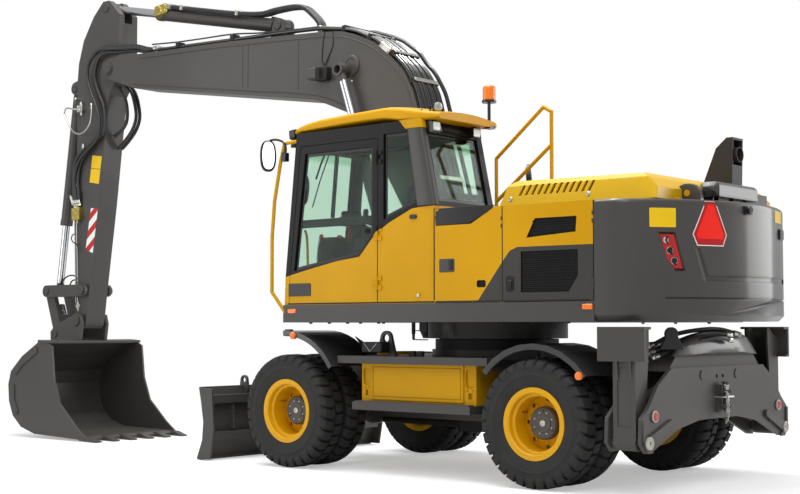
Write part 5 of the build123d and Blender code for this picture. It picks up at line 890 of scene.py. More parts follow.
black_part = enamel("moulded_black_polymer_gloss", "#18181A", 0.28, 0.2, peel_mm=1.5, peel=0.08)
place = side_place(0.208, 1.665)
make("rear_door_handle", black_part, "side_door_left_rear", "trim_black", (slab, place, rounded(0.078, 0.128,
    0.020, 5), 0.006, 0.002), (slab, place @ shift(0, -0.012, 0.006), rounded(0.046, 0.080, 0.014, 5), 0.008,
    0.003))
make("front_door_latch_plate", weld_bead, "side_door_left_front", "chassis_grey",
    (slab, side_place(0.865, 1.832), rounded(0.164, 0.113, 0.012, 4), 0.004, 0.0015))
make("front_door_latch", black_part, "side_door_left_front", "trim_black", (slab, side_place(0.822, 1.836)
    @ shift(0, 0, 0.004), rounded(0.042, 0.088, 0.012, 4), 0.007, 0.002), (turned, side_place(0.822, 1.815)
    @ shift(0, 0, 0.011), ((0.010, 0), (0.010, 0.003), (0.006, 0.004)), 16))
make("front_door_inlay", black_part, "side_door_left_front", "trim_black", (slab, side_place(0, 0),
    [(0.986, 2.181), (0.992, 2.255), (0.946, 2.322), (0.356, 2.322), (0.431, 2.267), (0.557, 2.212),
    (0.634, 2.181)], 0.003, 0.001))


def lens_material(name, code, bands, direction, strength, depth, **finish):
    """Moulded clear plastic with fine ribs on its face."""
    material, tree, out, place = start_material(name)
    ribs = add(tree, "ShaderNodeTexWave", {"Vector": place, "Scale": bands}, bands_direction=direction)
    sockets = {"Base Color": linear(code)} | {socket.replace("_", " "): value
        for socket, value in finish.items()}
    bumped(tree, out, ribs.outputs["Fac"], strength, depth, sockets)
    return material


amber = lens_material("moulded_amber_acrylic", "#F07A12", 60.0, "X", 0.25, 0.0008, Roughness=0.12,
    Subsurface_Weight=0.4, Subsurface_Radius=(0.02, 0.006, 0.001), Coat_Weight=0.5)
red_lens = lens_material("moulded_red_acrylic", "#B3120E", 70.0, "Z", 0.25, 0.0008, Roughness=0.12,
    Subsurface_Weight=0.3, Subsurface_Radius=(0.02, 0.002, 0.001), Coat_Weight=0.5)
clear_lens = lens_material("ribbed_clear_polycarbonate", "#B4BABA", 90.0, "Y", 0.4, 0.001, Roughness=0.08,
    Metallic=0.6, Coat_Weight=1.0)
for name, ahead, z, width, height in (("marker_rear", -0.537, 1.470, 0.095, 0.044), ("marker_front", 2.700,
        1.457, 0.105, 0.040)):
    y = skin_at(ahead, z, "side_walls", "turntable", "counterweight", "cab_frame")
    make(name, amber, "upper", "lamp_amber", (slab, side_place(ahead, z, y), rounded(width, height, 0.010, 4),
        0.012, 0.004, 0.004))
make("cab_side_plate", black_part, "cab_door", "trim_black", (slab, side_place(2.623, 1.655,
    skin_at(2.60, 1.655, "cab_frame", "cab_door")), rounded(0.286, 0.118, 0.012, 4), 0.005, 0.0015))
make("step_lamp", black_part, "upper", "trim_black", (slab, side_place(1.25, 2.268, skin_at(1.25, 2.268,
    "cab_frame")), rounded(0.076, 0.036, 0.012, 4), 0.016, 0.004))
place = side_place(1.182, 1.584, 1.271)
make("cap_lock", zinc, "upper", "rod_chrome", (turned, place, ((0.017, -0.004), (0.017, 0.004),
    (0.013, 0.007)), 20), (turned, place, ((0.005, 0.006), (0.005, 0.009)), 8))

# Panel gaps: black strips on the seams of the left side, along its foot and between the doors, each a
# flat strip set behind its seam. Their black is painted shade for the gaps, drawn as rubber seals.
SKINS = ("cab_frame", "cab_door", "side_walls", "side_door_left_front", "side_door_left_rear", "turntable")
gap_shade_strips = bmesh.new()
for ahead, low_z, high_z in ((1.665, 1.540, 2.12), (1.005, 1.540, 2.33), (0.285, 1.540, 2.30)):
    z = (low_z + high_z) / 2
    y = max(skin_at(ahead + step, z, *SKINS) for step in (-0.03, 0.03))
    block(gap_shade_strips, (ahead, y, z), (0, 1, 0), (0.008, high_z - low_z, 0.002, 1), 0.0012, 0.0004, 0.004)
for low_x, high_x in ((1.02, 2.78), (-0.56, 0.99)):
    x = (low_x + high_x) / 2
    block(gap_shade_strips, (x, skin_at(x, 1.60, *SKINS), 1.526), (0, 1, 0), (high_x - low_x, 0.012, 0.003, 1), 0.0012,
        0.0004, 0.004)
put("panel_gap_painted_shade", gap_shade_strips, clamp_plastic, "upper")


# Counterweight: its tail lamps, warning triangle, blank plates, lifting lug, rear camera and the long
# closed box over it, with the loop of tube at the box's end.
def on_weight(y, z):
    """Where the counterweight's back stands at a point, and the way out there."""
    return touch("counterweight", spot(-2.2, y, z), (1, 0, 0))


CLUSTER_Y, CLUSTER_Z = (1.085, 0.80), 1.90
skin_left, skin_right = (on_weight(y, CLUSTER_Z)[0] for y in CLUSTER_Y)
cluster = facing(skin_left.lerp(skin_right, 0.5), (skin_right - skin_left).cross(Vector((0, 0, 1))))
back_of = cluster.inverted()


def on_cluster(y, z):
    """A point of the lamp cluster in its own place."""
    share = (CLUSTER_Y[0] - y) / (CLUSTER_Y[0] - CLUSTER_Y[1])
    local = back_of @ (skin_left.lerp(skin_right, share) + Vector((0, 0, z - CLUSTER_Z)))
    return local.x, local.y


make("tail_cluster_lens", red_lens, "upper", "lamp_amber", (slab, cluster @ shift(0, 0, -0.020),
    [on_cluster(*p) for p in ((1.030, 2.035), (0.925, 2.035), (0.866, 1.762), (0.925, 1.762),
    (0.975, 1.825))], 0.012, 0.004))
for name, y, z, radius, material, rim in (("tail_lens_top", 0.985, 1.985, 0.026, clear_lens, red_lens),
        ("tail_lens_middle", 0.957, 1.905, 0.024, black_part, zinc), ("tail_lens_low", 0.927, 1.825, 0.024,
        black_part, zinc)):
    at = cluster @ shift(*on_cluster(y, z), -0.010)
    make(name, material, "upper", "lamp_amber", (turned, at, ((radius, 0), (radius, 0.004),
        (radius * 0.9, 0.009), (radius * 0.6, 0.012), (radius * 0.2, 0.013)), 28))
    make(name + "_ring", rim, "upper", "rod_chrome", (turned, at, ((radius * 1.22, 0), (radius * 1.22, 0.006),
        (radius * 1.05, 0.007), (radius * 1.0, 0.002)), 28))
make("number_plate_lamp", black_part, "upper", "trim_black", (slab, facing(*on_weight(-0.425, 2.083)),
    rounded(0.16, 0.09, 0.02, 4), 0.018, 0.005, 0.02))

TRIANGLE = [(0.045, 0.177), (-0.045, 0.177), (-0.153, -0.085), (-0.117, -0.175), (0.117, -0.175),
    (0.153, -0.085)]
FACE = [(0.026, 0.150), (-0.026, 0.150), (-0.122, -0.085), (-0.108, -0.120), (0.108, -0.120), (0.122, -0.085)]


def sheet(mesh, centre_y, centre_z, outline, parts, lift):
    """A thin sheet with an outline, its sides cut into parts, laid on the counterweight's back."""
    cut = [Vector(a).lerp(Vector(b), k / parts) for a, b in zip(outline, outline[1:] + outline[:1])
        for k in range(parts)]
    ring = []
    for y, z in cut + [(0, 0)]:
        point, normal = on_weight(centre_y + y, centre_z + z)
        ring.append(mesh.verts.new(point + normal * lift))
    middle = ring.pop()
    for one, two in zip(ring, ring[1:] + ring[:1]):
        mesh.faces.new((one, two, middle))


for name, outline, code, lift in (("triangle_edge", TRIANGLE, "#ECECEA", 0.002), ("triangle_border",
        inner_outline(TRIANGLE, 0.007), "#B01214", 0.0028), ("triangle_face", FACE, "#F21E0A", 0.0036)):
    finish = enamel("reflective_sheet_" + name, code, 0.3, 0.3, peel_mm=3, peel=0.2, edge_mm=0.5)
    make(name, finish, "upper", "lamp_amber", (sheet, 0.65, 2.12, outline, 6, lift))
for name, y, z, width, height in (("weight_plate_left", 1.01, 2.16, 0.17, 0.15), ("weight_plate_right",
        -0.356, 2.225, 0.22, 0.10)):
    make(name, yellow_sheet, "upper", "body_yellow", (sheet, y, z, rounded(width, height, 0.006, 2), 2,
        0.002))

LUG_X, LUG_Y, BOX_X = -1.055, 0.57, -1.17
lug_z = touch("counterweight", spot(LUG_X, LUG_Y, 3.2), (0, 0, -1))[0].z
box_z = touch("counterweight", spot(-1.1, 0.0, 3.2), (0, 0, -1))[0].z
arch = [(0.12 * math.cos(math.radians(a)), 0.045 + 0.115 * math.sin(math.radians(a))) for a in range(0, 181,
    15)]
make("lifting_lug", weight_enamel, "upper", "chassis_grey", (slab, facing(spot(LUG_X, LUG_Y, lug_z - 0.01),
    (0, 1, 0)), [(0.12, 0.0)] + arch + [(-0.12, 0.0)], 0.036, 0.004, 0.018))
make("lifting_lug_eye", yellow_enamel, "upper", "body_yellow",
    (turned, facing(spot(LUG_X, LUG_Y + 0.036, lug_z + 0.070), (0, 1, 0)), ((0.027, 0.0), (0.027, 0.0015),
    (0.002, 0.0015)), 24))
make("long_box_on_weight", weight_enamel, "upper", "chassis_grey",
    (slab, facing(spot(BOX_X, -0.24, box_z + 0.105), (0, 1, 0)), [(0.085, -0.060), (0.085, 0.035),
    (0.055, 0.062), (-0.055, 0.062), (-0.085, 0.040), (-0.085, -0.040), (-0.06, -0.062), (0.06, -0.062)],
    0.72, 0.04), *[(block, (-1.16, y, box_z - 0.01), (0, 0, 1), (0.05, 0.10, 0.01, 2), 0.07, 0.003)
    for y in (0.36, 0.10, -0.14)])
make("yellow_feet_under_box", yellow_enamel, "upper", "body_yellow", *[(block, (-1.12, y, box_z - 0.01),
    (0, 0, 1), (0.09, 0.08, 0.012, 3), 0.055, 0.006) for y in (0.23, -0.02, -0.30)])
at = facing(*on_weight(0.25, 2.245))
make("rear_camera", black_part, "upper", "trim_black", (turned, at, ((0.030, -0.02), (0.030, 0.035),
    (0.024, 0.040), (0.016, 0.040), (0.013, 0.036), (0.002, 0.038)), 24), (slab, at @ shift(0, 0, -0.01),
    rounded(0.10, 0.075, 0.012, 3), 0.025, 0.003))
make("box_end_loop", grey_enamel, "upper", "chassis_grey", (bent,
    [(BOX_X, y, box_z + z) for y, z in ((-0.235, 0.14), (-0.30, 0.145), (-0.335, 0.12), (-0.335, 0.08),
    (-0.30, 0.055), (-0.235, 0.06))], 0.015, 0.010))
make("hood_screws", zinc, "hood", "rod_chrome", *[(turned, facing(*touch("hood", spot(x, 1.6, 2.388),
    (0, -1, 0))), ((0.020, -0.002), (0.020, 0.004), (0.015, 0.007), (0.006, 0.007)), 20) for x in (0.397,
    -0.375)])

# Cab windows: every large pane has a black border along its edge, printed and fired into the glass, that
# hides the bond under it.
frit = enamel("fired_black_ceramic_print", "#101112", 0.22, 0.0, peel_mm=4, peel=0.02, edge_mm=0.5)
for node, body in (("cab_glass", "upper"), ("door_glass", "cab_door")):
    panes = bmesh.new()
    panes.from_mesh(nodes[node].data)
    bmesh.ops.dissolve_limit(panes, angle_limit=math.radians(2), verts=panes.verts, edges=panes.edges)
    bmesh.ops.delete(panes, geom=[f for f in panes.faces if f.calc_area() <= 0.05], context="FACES")
    result = bmesh.ops.inset_individual(panes, faces=list(panes.faces), thickness=0.030, use_even_offset=True)
    rim = set(result["faces"])
    bmesh.ops.delete(panes, geom=[f for f in panes.faces if f not in rim], context="FACES_ONLY")
    lifted = {}
    for face in panes.faces:
        face.normal_update()
        for v in face.verts:
            lifted[v] = face.normal
    for v, normal in lifted.items():
        v.co += normal * 0.0010
    data = bpy.data.meshes.new("pane_borders_" + node)
    panes.to_mesh(data)
    panes.free()
    data.materials.append(frit)
    borders = in_scene("pane_borders_" + node, data)
    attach(borders, body)

# Inside the cab and on its windscreen: wiper, trim, monitor, levers and the door's handle, in black
# polymer and coated tube.
wiper = bmesh.new()
for (y0, z0), (y1, z1), radius in (((0.82, 3.02), (0.94, 2.72), 0.009), ((0.79, 2.96), (0.96, 2.45), 0.006)):
    top, low = (touch("cab_glass", spot(4.2, y, z), (-1, 0, 0))[0] + Vector((0.022, 0, 0))
        for y, z in ((y0, z0), (y1, z1)))
    tube(wiper, [top, top.lerp(low, 0.5) + Vector((0.01, 0, 0)), low], radius, 8)
put("windscreen_wiper", wiper, black_part, "upper")
make("cab_trim_panels", plastic, "upper", "trim_black", (block, (2.60, 0.81, 1.56), (0, 0, 1),
    (0.22, 0.26, 0.05, 4), 0.60, 0.03), (block, (2.45, 0.44, 1.95), (0, 1, 0), (0.50, 0.62, 0.06, 4), 0.03,
    0.01), (block, (1.88, 0.82, 3.072), (0, 0, -1), (1.46, 0.74, 0.08, 4), 0.05, 0.02),
    (block, (2.55, 0.82, 3.045), (0, 0, -1), (0.24, 0.74, 0.05, 4), 0.09, 0.02), (block, (1.10, 0.82, 2.05),
    (1, 0, 0), (0.70, 0.90, 0.05, 4), 0.05, 0.02))
make("cab_monitor", black_part, "upper", "trim_black", (block, (2.66, 0.50, 2.36), (-0.9, 0.35, 0.1),
    (0.21, 0.15, 0.02, 4), 0.035, 0.008), (bent, [(2.68, 0.49, 2.05), (2.68, 0.49, 2.30)], None, 0.014, 8))
LEVERS_Y = (0.70, 0.98)
make("travel_levers", zinc, "upper", "rod_chrome", *[(bent, [(2.64, y, 1.60), (2.655, y, 1.85),
    (2.64, y, 2.08), (2.61, y, 2.15)], 0.03, 0.009, 8) for y in LEVERS_Y])
make("lever_knobs", red_lens, "upper", "lamp_amber", *[(turned, facing(spot(2.615, y, 2.13),
    (-0.35, 0, 0.93)), ((0.008, 0), (0.018, 0.01), (0.022, 0.03), (0.019, 0.05), (0.008, 0.058)), 16)
    for y in LEVERS_Y])
make("door_inside_handle", black_part, "cab_door", "trim_black",
    (bent, [(2.70, 1.17, 2.45), (2.63, 1.17, 2.48), (2.605, 1.17, 2.57), (2.60, 1.17, 2.66),
    (2.63, 1.17, 2.73), (2.70, 1.17, 2.74)], 0.02, 0.015, 12))

# Seat: moulded foam cushion, back and head rest under woven charcoal cloth. The foam swells the cloth a
# little, and the rim is pulled in.
cloth_grey, tree, out, place = start_material("woven_seat_cloth_charcoal")
warp, weft = (add(tree, "ShaderNodeTexWave", {"Vector": place, "Scale": 420.0},
    bands_direction=way).outputs["Fac"] for way in "XY")
weave = add(tree, "ShaderNodeMath", {0: warp, 1: weft}, operation="MULTIPLY").outputs[0]
fuzz = add(tree, "ShaderNodeTexNoise", {"Vector": place, "Scale": 180.0, "Detail": 4.0})
mixed = add(tree, "ShaderNodeMix", {"Factor": fuzz.outputs["Fac"], 6: linear("#1C1E20"),
    7: linear("#2B2D31")}, data_type="RGBA").outputs[2]
bumped(tree, out, weave, 0.5, 0.0012, {"Base Color": mixed, "Roughness": 0.85, "Sheen Weight": 0.15,
    "Sheen Roughness": 0.4})
CLOTH_FRAMES = 20


def settle(pad):
    """Give a piece the mesh that its modifiers make of it."""
    pad.data = bpy.data.meshes.new_from_object(pad.evaluated_get(bpy.context.evaluated_depsgraph_get()))
    pad.modifiers.clear()


def cushion(name, place, outline, depth, crown, cap):
    """A cushion from an outline in a place's XY: crowned face, pulled-in rim, filled by a cloth pass."""
    mesh = bmesh.new()
    rows = []
    for inset, height in ((0.030, 0.0), (0.010, 0.010), (0.002, 0.030), (0.002, depth - 0.034),
            (0.010, depth - 0.012), (0.028, depth)):
        rows.append([mesh.verts.new(place @ Vector((p[0], p[1], height))) for p in inner_outline(outline,
            inset)])
    ring_faces(mesh, rows, len(outline))
    for ring, rise in ((rows[0], 0.0), (rows[-1], crown)):
        rim = ring
        middle = sum((v.co for v in rim), Vector()) / len(rim)
        for scale, part in ((0.7, 0.6), (0.35, 0.95)):
            inner = [mesh.verts.new(middle.lerp(v.co, scale) + place.to_3x3().col[2] * rise * part)
                for v in rim]
            ring_faces(mesh, [ring, inner], len(outline))
            ring = inner
        mesh.faces.new(ring)
    bmesh.ops.recalc_face_normals(mesh, faces=mesh.faces)
    data = bpy.data.meshes.new(name)
    mesh.to_mesh(data)
    mesh.free()
    pad = in_scene(name, data)
    even = pad.modifiers.new("even", "REMESH")
    even.mode = "VOXEL"
    even.voxel_size = 0.010
    settle(pad)
    rest = [v.co.copy() for v in pad.data.vertices]
    sim = pad.modifiers.new("fill", "CLOTH")
    sim.settings.use_pressure = True
    sim.settings.uniform_pressure_force = 4.0
    sim.settings.effector_weights.gravity = 0
    sim.point_cache.frame_start = 1
    sim.point_cache.frame_end = CLOTH_FRAMES
    for moment in range(1, CLOTH_FRAMES + 1):
        bpy.context.scene.frame_set(moment)
    settle(pad)
    bpy.context.scene.frame_set(1)
    for v, home in zip(pad.data.vertices, rest):
        step = v.co - home
        v.co = home + step * min(1.0, cap / max(step.length, 1e-6))
    pad.modifiers.new("smooth", "SUBSURF").levels = 1
    settle(pad)
    for face in pad.data.polygons:
        face.use_smooth = True
    pad.data.materials.clear()
    pad.data.materials.append(cloth_grey)
    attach(pad, "upper")
    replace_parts(pad, "seat")


SEAT_Y = 0.81
cushion("seat_cushion", facing(spot(1.69, SEAT_Y, 1.895), (-0.04, 0, 1), (1, 0, 0)), rounded(0.45, 0.47, 0.07,
    5), 0.100, 0.020, 0.012)
cushion("seat_back", facing(spot(1.470, SEAT_Y, 2.30), (0.98, 0, 0.20), (-0.2, 0, 0.98)), rounded(0.45, 0.60,
    0.09, 5), 0.100, 0.020, 0.012)
cushion("seat_head_rest", facing(spot(1.385, SEAT_Y, 2.72), (0.98, 0, 0.20), (-0.2, 0, 0.98)),
    rounded(0.27, 0.16, 0.05, 5), 0.085, 0.012, 0.010)


# Work lamps and markers on the cab: black moulded housings with ribbed clear lenses, an amber beacon on
# the roof, and two more lamps at the roof's front edge.
def lamp_tone(tree, place):
    """1 where the lamps node is a black housing, 0 on the beacon's lens."""
    up = add(tree, "ShaderNodeSeparateXYZ", {0: place}).outputs[2]
    return add(tree, "ShaderNodeMath", {0: up, 1: 3.366}, operation="LESS_THAN").outputs[0]


dress(enamel("amber_lens_over_black_housing", "#F07A12", 0.18, 0.6, peel_mm=3, peel=0.25, second=("#1B1B1C",
    lamp_tone)), "lamps")
for number, (ahead, y, way) in enumerate(((1.11, 1.14, -1), (1.11, 0.56, -1), (2.78, 1.12, 1),
        (2.78, 0.50, 1))):
    make(f"work_lamp_lens_{number}", clear_lens, "upper", "lamp_amber",
        (slab, against("lamps", (ahead + way * 0.6, y, 3.06), (-way, 0, 0)), rounded(0.10, 0.075, 0.015, 4),
        0.008, 0.003, 0.004))
ROOF_LAMPS_Y = (1.165, 0.47)
make("front_roof_lamps", black_part, "upper", "trim_black", *[(block, (2.735, y, 3.132), (1, 0, -0.12),
    (0.105, 0.088, 0.016, 4), 0.075, 0.008) for y in ROOF_LAMPS_Y])
make("front_roof_lamp_lenses", clear_lens, "upper", "lamp_amber", *[(block, (2.8105, y, 3.123), (1, 0, -0.12),
    (0.088, 0.072, 0.012, 4), 0.004, 0.002) for y in ROOF_LAMPS_Y])

# Cab roof: one moulded cover, crowned both ways, with a deep rolled edge along each side; it takes the
# place of the CAD roof, whose top is flat between bends.
low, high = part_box("cab_roof")
roof_middle, roof_half = (low.y + high.y) / 2, (high.y - low.y) / 2
SIDE_TOP = ((2.742, 3.135), (2.70, 3.176), (2.60, 3.205), (2.40, 3.232), (2.06, 3.250), (1.81, 3.259),
    (1.56, 3.264), (1.38, 3.240), (1.20, 3.205), (1.03, 3.172), (0.935, 3.150))
SIDE_LOW = ((2.735, 3.112), (2.70, 3.128), (2.60, 3.134), (2.40, 3.143), (2.06, 3.155), (1.81, 3.162),
    (1.60, 3.160), (1.42, 3.128), (1.24, 3.118), (1.05, 3.112), (0.94, 3.110))
QUARTER = [math.radians(a) for a in (0, 22, 45, 68, 90)]
stations = []
for point in flow([Vector((x, 0, z)) for x, z in SIDE_TOP], 0.06):
    for (x0, z0), (x1, z1) in zip(SIDE_LOW, SIDE_LOW[1:]):
        if x1 <= point.x <= x0:
            stations.append((point.x, point.z, z0 + (z1 - z0) * (x0 - point.x) / (x0 - x1)))
            break
shell, rows = bmesh.new(), []
first_x, last_x = stations[0][0], stations[-1][0]
for x, top, under in stations:
    share = (first_x - x) / (first_x - last_x)
    half = roof_half * (1 - 0.05 * max(0, 1 - share * 6) ** 2 - 0.03 * max(0, share * 5 - 4) ** 2)
    rim = min(0.045, (top - under) * 0.55)
    crown = min(0.030, max(0.0, high.z + 0.004 - top))
    section = [(-half + 0.02, under), (-half, under + 0.012)]
    section += [(-half + rim * (1 - math.cos(a)), top - rim + rim * math.sin(a)) for a in QUARTER]
    section += [(-half + rim + (half - rim) * k / 8, top + crown * math.sin(math.pi / 2 * k / 8))
        for k in range(1, 9)]
    section += [(-y, z) for y, z in section[-2::-1]]
    rows.append([shell.verts.new(spot(x, roof_middle + y, z)) for y, z in section])
closed(shell, rows)
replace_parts(put("moulded_roof", shell, yellow_enamel, "upper", 50), "cab_roof")

# Rear corner post of the cab: a grey cover rolled round the corner, with the roof's yellow cap over its
# head. Both are thin shells that stand just off the post.
CORNER_LOW, CORNER_HIGH, CORNER_Y, BEND = 2.45, 3.00, 1.25, 0.035
rear_low, rear_high = (touch("cab_frame", spot(0.2, CORNER_Y - 0.030, z), (1, 0, 0))[0].x - REAR_AXLE_X
    for z in (CORNER_LOW, CORNER_HIGH))


def corner_cover(name, low_z, high_z, front, grow, material):
    """A cover wrapped round the cab's left rear corner; front gives its edge's place at a height."""
    mesh, rows = bmesh.new(), []
    for level in range(9):
        z = low_z + (high_z - low_z) * level / 8
        share = (z - CORNER_LOW) / (CORNER_HIGH - CORNER_LOW)
        rear = rear_low + (rear_high - rear_low) * share
        edge = front(z)
        line = [(edge, CORNER_Y - 0.004), (edge - 0.002, CORNER_Y + grow * 0.7),
            (edge - 0.012, CORNER_Y + grow)]
        line += [(rear - grow + BEND * (1 - math.sin(a)), CORNER_Y + grow - BEND * (1 - math.cos(a)))
            for a in QUARTER]
        line += [(rear - grow, CORNER_Y - 0.052), (rear - grow * 0.6, CORNER_Y - 0.060),
            (rear + 0.004, CORNER_Y - 0.062), (rear + 0.004, CORNER_Y - 0.004)]
        rows.append([mesh.verts.new(spot(x, y, z)) for x, y in line])
    closed(mesh, rows)
    put(name, mesh, material, "upper", 40)


corner_cover("cab_corner_cover", 2.362, 3.075, lambda z: 1.199 + 0.162 * (z - 2.35), 0.014, grey_enamel)
corner_cover("roof_corner_cap", 3.045, 3.125, lambda z: 1.335 + 0.9 * (z - 3.045), 0.019, yellow_enamel)

# Work lamp on the roof's rear corner: a round moulded housing with a clear lens, held in a stirrup of bent
# rod by two bolts.
place = facing(spot(1.085, 1.115, 3.232), (-0.86, 0.42, -0.14))
STIRRUP = ((0.062, 0), (0.060, -0.05), (0.0, -0.072), (-0.060, -0.05), (-0.062, 0))
make("roof_work_lamp", black_part, "upper", "trim_black", (turned, place, ((0.018, -0.062), (0.036, -0.052),
    (0.050, -0.020), (0.054, 0.0), (0.054, 0.012), (0.046, 0.014), (0.045, 0.006)), 28),
    (tube, flow([place @ Vector((x, y, -0.02)) for x, y in STIRRUP], 0.015), 0.007, 8),
    (bolt, facing(spot(1.10, 1.17, 3.185), (0, 0.9, 0.3)), 0.014), (bolt, facing(spot(1.20, 1.20, 3.200),
    (0, 0.9, 0.3)), 0.012))
make("roof_work_lamp_lens", clear_lens, "upper", "lamp_amber", (turned, place @ shift(0, 0, 0.005),
    ((0.045, 0), (0.043, 0.006), (0.030, 0.011), (0.010, 0.013)), 28))

# Inside the door: the sliding window's frame on its rail; inside the cab, the seat's sprung base with its
# arm rests, red lever handles on the right console and a yellow grab post by the door.
frame_rails = bmesh.new()
for (x0, z0), (x1, z1), width in (((2.68, 2.268), (1.78, 2.271), 0.075), ((2.25, 2.31), (2.19, 2.93), 0.036)):
    one, two = Vector((x0, 0, z0)), Vector((x1, 0, z1))
    middle, along = (one + two) / 2, (two - one)
    y = touch("door_glass", spot(middle.x, 1.6, middle.z), (0, -1, 0))[0].y - 0.034
    block(frame_rails, (middle.x, y, middle.z), (0, 1, 0), (width, along.length, 0.008, 3), 0.022, 0.004, 0.0,
        along)
put("sliding_window_frame", frame_rails, plastic, "cab_door")
seat_base = bmesh.new()
UP = (0, 0, 1)
for level, (width, length) in enumerate(((0.44, 0.46), (0.40, 0.42), (0.42, 0.44), (0.38, 0.40),
        (0.42, 0.44))):
    block(seat_base, (1.69, SEAT_Y, 1.640 + 0.046 * level), UP, (width, length, 0.05, 4), 0.046, 0.008)
block(seat_base, (1.70, SEAT_Y, 1.559), UP, (0.46, 0.52, 0.03, 3), 0.081, 0.010)
for y in (SEAT_Y + 0.285, SEAT_Y - 0.285):
    bent(seat_base, [(1.47, y, 2.02), (1.55, y, 2.12), (1.66, y, 2.145), (1.80, y, 2.15)], 0.03, 0.014, 8)
    block(seat_base, (1.80, y, 2.150), UP, (0.07, 0.30, 0.03, 4), 0.045, 0.012)
    bent(seat_base, [(1.94, y, 2.19), (1.955, y, 2.26), (1.945, y, 2.31)], 0.02, 0.012, 8)
    turned(seat_base, facing(spot(1.944, y, 2.300), (-0.1, 0, 1)), ((0.012, 0), (0.022, 0.012),
        (0.026, 0.045), (0.022, 0.075), (0.010, 0.085)), 16)
put("seat_base_and_arm_rests", seat_base, plastic, "upper")
handles_red = bmesh.new()
for y, x, z in ((0.62, 2.700, 2.172), (0.50, 2.672, 2.294)):
    bent(handles_red, [(x, y, 1.565), (x + 0.012, y, (z + 1.565) / 2), (x, y, z)], 0.02, 0.013)
    turned(handles_red, facing(spot(x, y, z - 0.03), UP), ((0.012, 0), (0.028, 0.012), (0.031, 0.035),
        (0.022, 0.055), (0.008, 0.060)), 16)
put("red_lever_handles", handles_red, red_lens, "upper")
make("cab_grab_post", yellow_enamel, "upper", "body_yellow", (bent, [(2.66, 1.10, 1.575),
    (2.662, 1.10, 1.874), (2.677, 1.10, 2.16), (2.70, 1.10, 2.22)], 0.03, 0.012))

# Mirrors: an oval moulded housing on a bent black tube, with its silvered glass toward the driver. One
# stands ahead of the cab door and one on the right side.
mirror_glass, tree, out, place = start_material("silvered_mirror_glass")
ripple = add(tree, "ShaderNodeTexNoise", {"Vector": place, "Scale": 30.0})
bumped(tree, out, ripple.outputs["Fac"], 0.02, 0.0004, {"Base Color": linear("#D8DDD9"), "Metallic": 1.0,
    "Roughness": 0.08})


def oval(width, height, power=2.6, steps=40):
    """A rounded tall outline."""
    points = []
    for k in range(steps):
        c, s = math.cos(2 * math.pi * k / steps), math.sin(2 * math.pi * k / steps)
        points.append((width / 2 * math.copysign(abs(c) ** (2 / power), c),
            height / 2 * math.copysign(abs(s) ** (2 / power), s)))
    return points


heads, faces, stays = bmesh.new(), bmesh.new(), bmesh.new()
for (x, y, z), turn in (((2.93, 1.35, 2.92), 0.75), ((1.83, -1.35, 2.85), -0.75)):
    place = facing(spot(x + 0.022, y, z), (-1, turn, 0.12))
    slab(heads, place, oval(0.150, 0.300), 0.040, 0.012)
    slab(heads, place @ shift(0, 0, -0.018), oval(0.110, 0.240), 0.020, 0.001)
    slab(faces, place @ shift(0, 0, 0.0405), oval(0.112, 0.262), 0.001, 0.0004)
bent(stays, [(2.80, 1.295, 2.90), (2.765, 1.30, 2.96), (2.775, 1.305, 3.03), (2.83, 1.315, 3.065),
    (2.91, 1.33, 3.075), (2.965, 1.35, 3.05), (2.965, 1.37, 2.96)], 0.02, 0.011)
block(stays, (2.785, 1.285, 2.905), (0, 1, 0), (0.06, 0.085, 0.012, 3), 0.030, 0.004, 0.02)
bent(stays, [(1.83, -1.20, 2.25), (1.83, -1.20, 2.55), (1.83, -1.20, 2.74), (1.84, -1.24, 2.80),
    (1.86, -1.30, 2.81), (1.87, -1.35, 2.82)], 0.02, 0.015)
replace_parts(put("mirror_heads", heads, black_part, "upper"), "mirrors")
put("mirror_faces", faces, mirror_glass, "upper")
put("mirror_stays", stays, black_part, "upper")

# Wheel fittings: ten nuts that hold each rim, the hub cover's small bolts and its filling plug, and the
# tyre valve, in grey enamel and plated steel.
for corner in CORNERS:
    rim, side = "rims_" + corner, 1 if corner.endswith("left") else -1
    axle_x = AXLES_X[0] if corner.startswith("front") else AXLES_X[1]
    nuts, cover = bmesh.new(), bmesh.new()
    for count, radius, size, mesh in ((10, 0.168, 0.0135, nuts), (8, 0.090, 0.007, cover)):
        for k in range(count):
            a = 2 * math.pi * (k + 0.5) / count
            start = (axle_x - REAR_AXLE_X + radius * math.cos(a), side * FAR, AXLE_Z + radius * math.sin(a))
            bolt(mesh, against(rim, start, (0, -side, 0), (math.cos(a), 0, math.sin(a))), size)
    turned(cover, against(rim, (axle_x - REAR_AXLE_X, side * FAR, AXLE_Z), (0, -side, 0)), ((0.028, -0.002),
        (0.028, 0.006), (0.022, 0.010), (0.012, 0.010), (0.011, 0.004)), 20)
    valve = touch(rim, Vector((axle_x + 0.20, side * FAR, AXLE_Z + 0.08)), (0, -side, 0))[0]
    tube(cover, [valve, valve + Vector((0, side * 0.05, 0)), valve + Vector((0.01, side * 0.085, 0.004))],
        0.006, 8)
    put("rim_nuts_" + corner, nuts, rim_enamel, "wheel_" + corner)
    put("hub_bolts_" + corner, cover, zinc, "wheel_" + corner)

